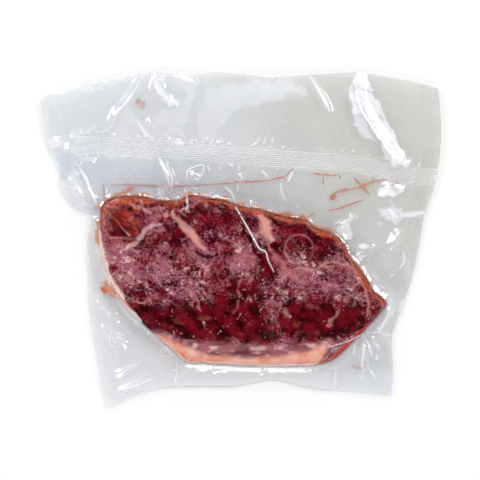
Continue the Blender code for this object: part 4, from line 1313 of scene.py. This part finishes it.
def calc(tree, operation, *values, clamp=False):
    """One arithmetic step."""
    node = tree.nodes.new("ShaderNodeMath")
    node.operation = operation
    node.use_clamp = clamp
    for socket, value in zip(node.inputs, values):
        feed(tree, socket, value)
    return node.outputs[0]


def times(tree, name, weight):
    """A stored number times a weight."""
    return calc(tree, "MULTIPLY", number(tree, name), weight)


def add_node(tree, kind, settings):
    """A node of a kind, with its named inputs linked or set."""
    node = tree.nodes.new(kind)
    for name, value in settings.items():
        feed(tree, node.inputs[name], value)
    return node


def see_through(tree, output, share, tint, solid):
    """Tinted clear light where the share is 0, and the solid shader where it is 1."""
    clear = add_node(tree, "ShaderNodeBsdfTransparent", {"Color": tint})
    mix = add_node(tree, "ShaderNodeMixShader", {"Fac": share})
    tree.links.new(clear.outputs[0], mix.inputs[1])
    tree.links.new(solid.outputs[0], mix.inputs[2])
    tree.links.new(mix.outputs[0], output.inputs["Surface"])


# %% Colour and pattern helpers
def blend(tree, share, a, b):
    """Colour a where the share is 0, and colour b where it is 1."""
    node = tree.nodes.new("ShaderNodeMix")
    node.data_type = "RGBA"
    feed(tree, node.inputs["Factor"], share)
    feed(tree, node.inputs["A"], a)
    feed(tree, node.inputs["B"], b)
    return node.outputs["Result"]


def steps(tree, value, low, high):
    """Smoothstep of a value: 0 below low and 1 above high."""
    level = add_node(tree, "ShaderNodeMapRange",
                     {"Value": value, "From Min": low, "From Max": high})
    level.interpolation_type = "SMOOTHSTEP"
    return level.outputs["Result"]


def spots(tree, scale, detail, low, high):
    """Noise in the object's own coordinates, squeezed between two levels to 0 to 1."""
    place = tree.nodes.new("ShaderNodeTexCoord")
    noise = add_node(tree, "ShaderNodeTexNoise", {
        "Vector": place.outputs["Object"], "Scale": scale, "Detail": detail})
    return steps(tree, noise.outputs["Fac"], low, high)


# %% [markdown]
# ### Beef
# The colour is built up like the meat: crimson, bloomed to purple pink, then pink and
# fat seams, stains, brown juice, the fat cap in purple and peach, the cream edge, the
# pale veil and blood, then dark marks with painted shade and painted glints. The shader has
# no gloss of its own but a thin clear coat, because most of the wet shine belongs to the film.

# %% Beef material
CRIMSON = (0.026, 0.000, 0.001, 1.0)
WET_RED = (0.150, 0.003, 0.010, 1.0)
BLOOM = (0.310, 0.090, 0.120, 1.0)
MAUVE = (0.430, 0.160, 0.190, 1.0)
PALE = (0.780, 0.480, 0.475, 1.0)
FAT_PINK = (0.630, 0.290, 0.250, 1.0)
SEAM_PINK = (0.430, 0.120, 0.135, 1.0)
CAP_PURPLE = (0.330, 0.105, 0.125, 1.0)
CAP_PEACH = (0.820, 0.300, 0.200, 1.0)
TAN = (0.270, 0.060, 0.036, 1.0)
RUST = (0.570, 0.135, 0.050, 1.0)
RUST_RED = (0.330, 0.040, 0.016, 1.0)
BLOOD = (0.600, 0.045, 0.032, 1.0)
PAINTED_GLINT = (0.740, 0.550, 0.580, 1.0)
CREAM = (0.960, 0.740, 0.650, 1.0)


def beef_material():
    """Crimson to bloom by tone, then each layer laid over it by its own number."""
    material, tree, output = new_tree("wet_beef")
    fine = spots(tree, 900.0, 4.0, 0.35, 0.65)
    broad = spots(tree, 160.0, 5.0, 0.35, 0.65)
    tone = calc(tree, "ADD", number(tree, "tone"),
                calc(tree, "MULTIPLY", calc(tree, "SUBTRACT", fine, 0.5), 0.5), clamp=True)
    color = blend(tree, steps(tree, tone, 0.18, 0.85),
                  blend(tree, broad, CRIMSON, WET_RED), BLOOM)
    veil_color = blend(tree, steps(tree, number(tree, "veil"), 0.0, 0.75), MAUVE, PALE)
    peach_color = blend(tree, calc(tree, "MULTIPLY", broad, 0.45), CAP_PEACH, CREAM)
    for name, weight, paint in (
            ("pink", 0.7, SEAM_PINK),
            ("fat", calc(tree, "MULTIPLY_ADD", broad, 0.3, 0.7), FAT_PINK),
            ("stain", 1.0, TAN),
            ("rust", 0.85, blend(tree, fine, RUST_RED, RUST)),
            ("cap", calc(tree, "MULTIPLY_ADD", broad, 0.28, 0.72), CAP_PURPLE),
            ("peach", 0.95, peach_color),
            ("cream", 0.95, CREAM),
            ("veil", 0.9, veil_color),
            ("blood", 0.9, BLOOD),
            # dark marks, partly painted shade beside the crease and in the corner's folds
            ("dark", 0.88, CRIMSON),
            # painted glints
            ("painted_glint", 0.7, PAINTED_GLINT)):
        color = blend(tree, times(tree, name, weight), color, paint)
    shader = add_node(tree, "ShaderNodeBsdfPrincipled", {
        "Base Color": color, "Roughness": 0.4, "Specular IOR Level": 0.0,
        "Coat Weight": 0.08, "Coat Roughness": 0.05})
    tree.links.new(shader.outputs[0], output.inputs["Surface"])
    return material


steak.data.materials.append(beef_material())
print("beef", len(steak.data.materials[0].node_tree.nodes), "nodes")

# %% [markdown]
# ### Clear film
# Film lets most light through, turns a little of it grey, and reflects sharply. The
# share of the solid look grows at grazing angles, on creases and in the seals, and juice
# tints it orange. Haze with painted highlights turns it white. Its grey is a painted tint
# of the light: cool at the lower left, and warmer and darker at the upper right.

# %% Film material
FILM_TINT = (0.968, 0.974, 0.980, 1.0)
FILM_WET_TINT = (0.99, 0.985, 0.985, 1.0)
# painted colours of the film under the light: cool, warm and darker, and white for haze and
# painted highlights
FILM_IN_COOL_LIGHT = (0.70, 0.755, 0.88, 1.0)
FILM_IN_WARM_LIGHT = (0.61, 0.60, 0.51, 1.0)
FILM_HAZE_AND_HIGHLIGHT_WHITE = (0.95, 0.965, 1.0, 1.0)
JUICE_TINT = (0.72, 0.26, 0.11, 1.0)


def film_material(name, body):
    """Clear light mixed with a glossy milky film. Its share is the body plus noise, seal
    and grazing angle, all but gone where the film is wet, plus juice and the haze number,
    which also holds painted highlights and painted light. Its colour is a painted tint of
    the light, white with that haze."""
    material, tree, output = new_tree(name)
    slant = add_node(tree, "ShaderNodeLayerWeight", {"Blend": 0.22})
    share = calc(tree, "MULTIPLY_ADD", spots(tree, 60.0, 3.0, 0.3, 0.7), 0.05, body)
    share = calc(tree, "ADD", share, times(tree, "seal", 0.06))
    share = calc(tree, "MULTIPLY_ADD", slant.outputs["Facing"], 0.35, share)
    share = calc(tree, "MULTIPLY", share,
                 calc(tree, "MULTIPLY_ADD", number(tree, "contact"), -0.996, 1.0))
    share = calc(tree, "ADD", share, times(tree, "juice", 0.5))
    share = calc(tree, "ADD", share, times(tree, "haze_and_highlight", 0.7), clamp=True)
    # painted tint of the light, going white with haze and painted highlights
    color = blend(tree, steps(tree, number(tree, "haze_and_highlight"), 0.0, 0.25),
                  blend(tree, number(tree, "painted_light_warmth"), FILM_IN_COOL_LIGHT, FILM_IN_WARM_LIGHT), FILM_HAZE_AND_HIGHLIGHT_WHITE)
    shader = add_node(tree, "ShaderNodeBsdfPrincipled", {
        "Base Color": blend(tree, number(tree, "juice"), color, JUICE_TINT),
        "Roughness": 0.16, "Specular IOR Level": 1.0,
        "Coat Weight": 1.0, "Coat IOR": 1.9, "Coat Roughness": 0.06})
    see_through(tree, output, share,
                blend(tree, number(tree, "contact"), FILM_TINT, FILM_WET_TINT), shader)
    return material


front_film = film_material("front_ply", 0.26)
back_ply = film_material("back_ply", 0.10)
for piece in (header, band, margin, steak_film):
    piece.data.materials.append(front_film)
back.data.materials.append(back_ply)
print("film", len(front_film.node_tree.nodes), "nodes, on five pieces")

# %% [markdown]
# ### Juice
# Thin juice is a clear stain, red where it is thick and orange where it is thin.

# %% Juice material
JUICE_RED = (0.68, 0.12, 0.04, 1.0)
JUICE_ORANGE = (0.88, 0.38, 0.19, 1.0)
JUICE_CLEAR = (1.0, 0.86, 0.78, 1.0)


def juice_material():
    """Orange to red by noise, partly see-through."""
    material, tree, output = new_tree("dried_juice")
    patches = spots(tree, 220.0, 3.0, 0.35, 0.65)
    shader = add_node(tree, "ShaderNodeBsdfPrincipled", {
        "Base Color": blend(tree, patches, JUICE_RED, JUICE_ORANGE), "Roughness": 0.35})
    see_through(tree, output, calc(tree, "MULTIPLY_ADD", patches, -0.35, 0.92),
                JUICE_CLEAR, shader)
    return material


juice.data.materials.append(juice_material())
print("materials", [material.name for material in bpy.data.materials])

# %% [markdown]
# ## Table, light and camera
# The photo looks straight down on a pure white ground, under broad soft light with a
# few bright windows that the film mirrors. So the sky is bright all round and dark
# overhead, and square lamps stand at the slants where the folds mirror them.

# %% Floor
HALF_TABLE = 3.0
TABLE_WHITE = (0.93, 0.93, 0.93, 1.0)
floor_mesh = bpy.data.meshes.new("pale_table")
floor_mesh.from_pydata([(HALF_TABLE * x, HALF_TABLE * y, 0.0)
                        for x, y in ((-1, -1), (1, -1), (1, 1), (-1, 1))], [], [(0, 1, 2, 3)])
floor = bpy.data.objects.new("pale_table", floor_mesh)
bpy.context.scene.collection.objects.link(floor)
table_material, tree, output = new_tree("white_table")
table_shader = add_node(tree, "ShaderNodeBsdfPrincipled", {
    "Base Color": TABLE_WHITE, "Roughness": 0.9, "Specular IOR Level": 0.0})
tree.links.new(table_shader.outputs[0], output.inputs["Surface"])
floor_mesh.materials.append(table_material)

# %% Lamps and sky
LAMP_DISTANCE = 0.9
LAMPS = [
    ("lamp_right", 27.0, 31.0, 0.18, 1.6),
    ("lamp_left", 150.0, 33.0, 0.20, 1.6),
    ("lamp_front", 265.0, 36.0, 0.30, 1.2),
    ("lamp_top", 85.0, 42.0, 0.24, 1.15),
]


def add_lamp(name, azimuth, slant, size, watts):
    """A square lamp that faces the pack, turned from +X by the azimuth and leaning from
    the vertical by the slant, both in degrees."""
    lamp = bpy.data.lights.new(name, "AREA")
    lamp.size = size
    lamp.energy = watts
    holder = bpy.data.objects.new(name, lamp)
    a, s = math.radians(azimuth), math.radians(slant)
    holder.location = (LAMP_DISTANCE * math.sin(s) * math.cos(a),
                       LAMP_DISTANCE * math.sin(s) * math.sin(a),
                       LAMP_DISTANCE * math.cos(s))
    holder.rotation_euler = (s, 0.0, a + math.pi / 2)
    bpy.context.scene.collection.objects.link(holder)


for lamp in LAMPS:
    add_lamp(*lamp)
world = bpy.data.worlds.new("soft_sky")
bpy.context.scene.world = world
world.use_nodes = True
SKY_OVERHEAD = 0.10
SKY_AROUND = 0.95


def light_sky(tree):
    """A sky that is dark straight overhead, so that flat film stays clear, and bright
    all round, by the height of the direction looked in."""
    sky = tree.nodes["Background"]
    place = tree.nodes.new("ShaderNodeTexCoord")
    split = add_node(tree, "ShaderNodeSeparateXYZ", {"Vector": place.outputs["Generated"]})
    level = add_node(tree, "ShaderNodeMapRange", {
        "Value": split.outputs["Z"], "From Min": 0.55, "From Max": 0.93,
        "To Min": SKY_AROUND, "To Max": SKY_OVERHEAD})
    level.interpolation_type = "SMOOTHSTEP"
    sky.inputs["Color"].default_value = (1.0, 1.0, 1.0, 1.0)
    tree.links.new(level.outputs["Result"], sky.inputs["Strength"])


light_sky(world.node_tree)
print("lamps", [name for name, *_ in LAMPS], "and a sky")
bpy.context.scene.view_settings.view_transform = "Standard"

# %% Camera
CAMERA_HEIGHT = 0.570
PIXEL = 0.000503
FRAME_PIXELS = 480
camera_data = bpy.data.cameras.new("photo_camera")
camera_data.sensor_width = 36.0
camera_data.lens = 36.0 * CAMERA_HEIGHT / (PIXEL * FRAME_PIXELS)
camera = bpy.data.objects.new("photo_camera", camera_data)
camera.location = (-0.00025, 0.0, CAMERA_HEIGHT)
bpy.context.scene.collection.objects.link(camera)
bpy.context.scene.camera = camera
print("lens", round(camera_data.lens, 1))
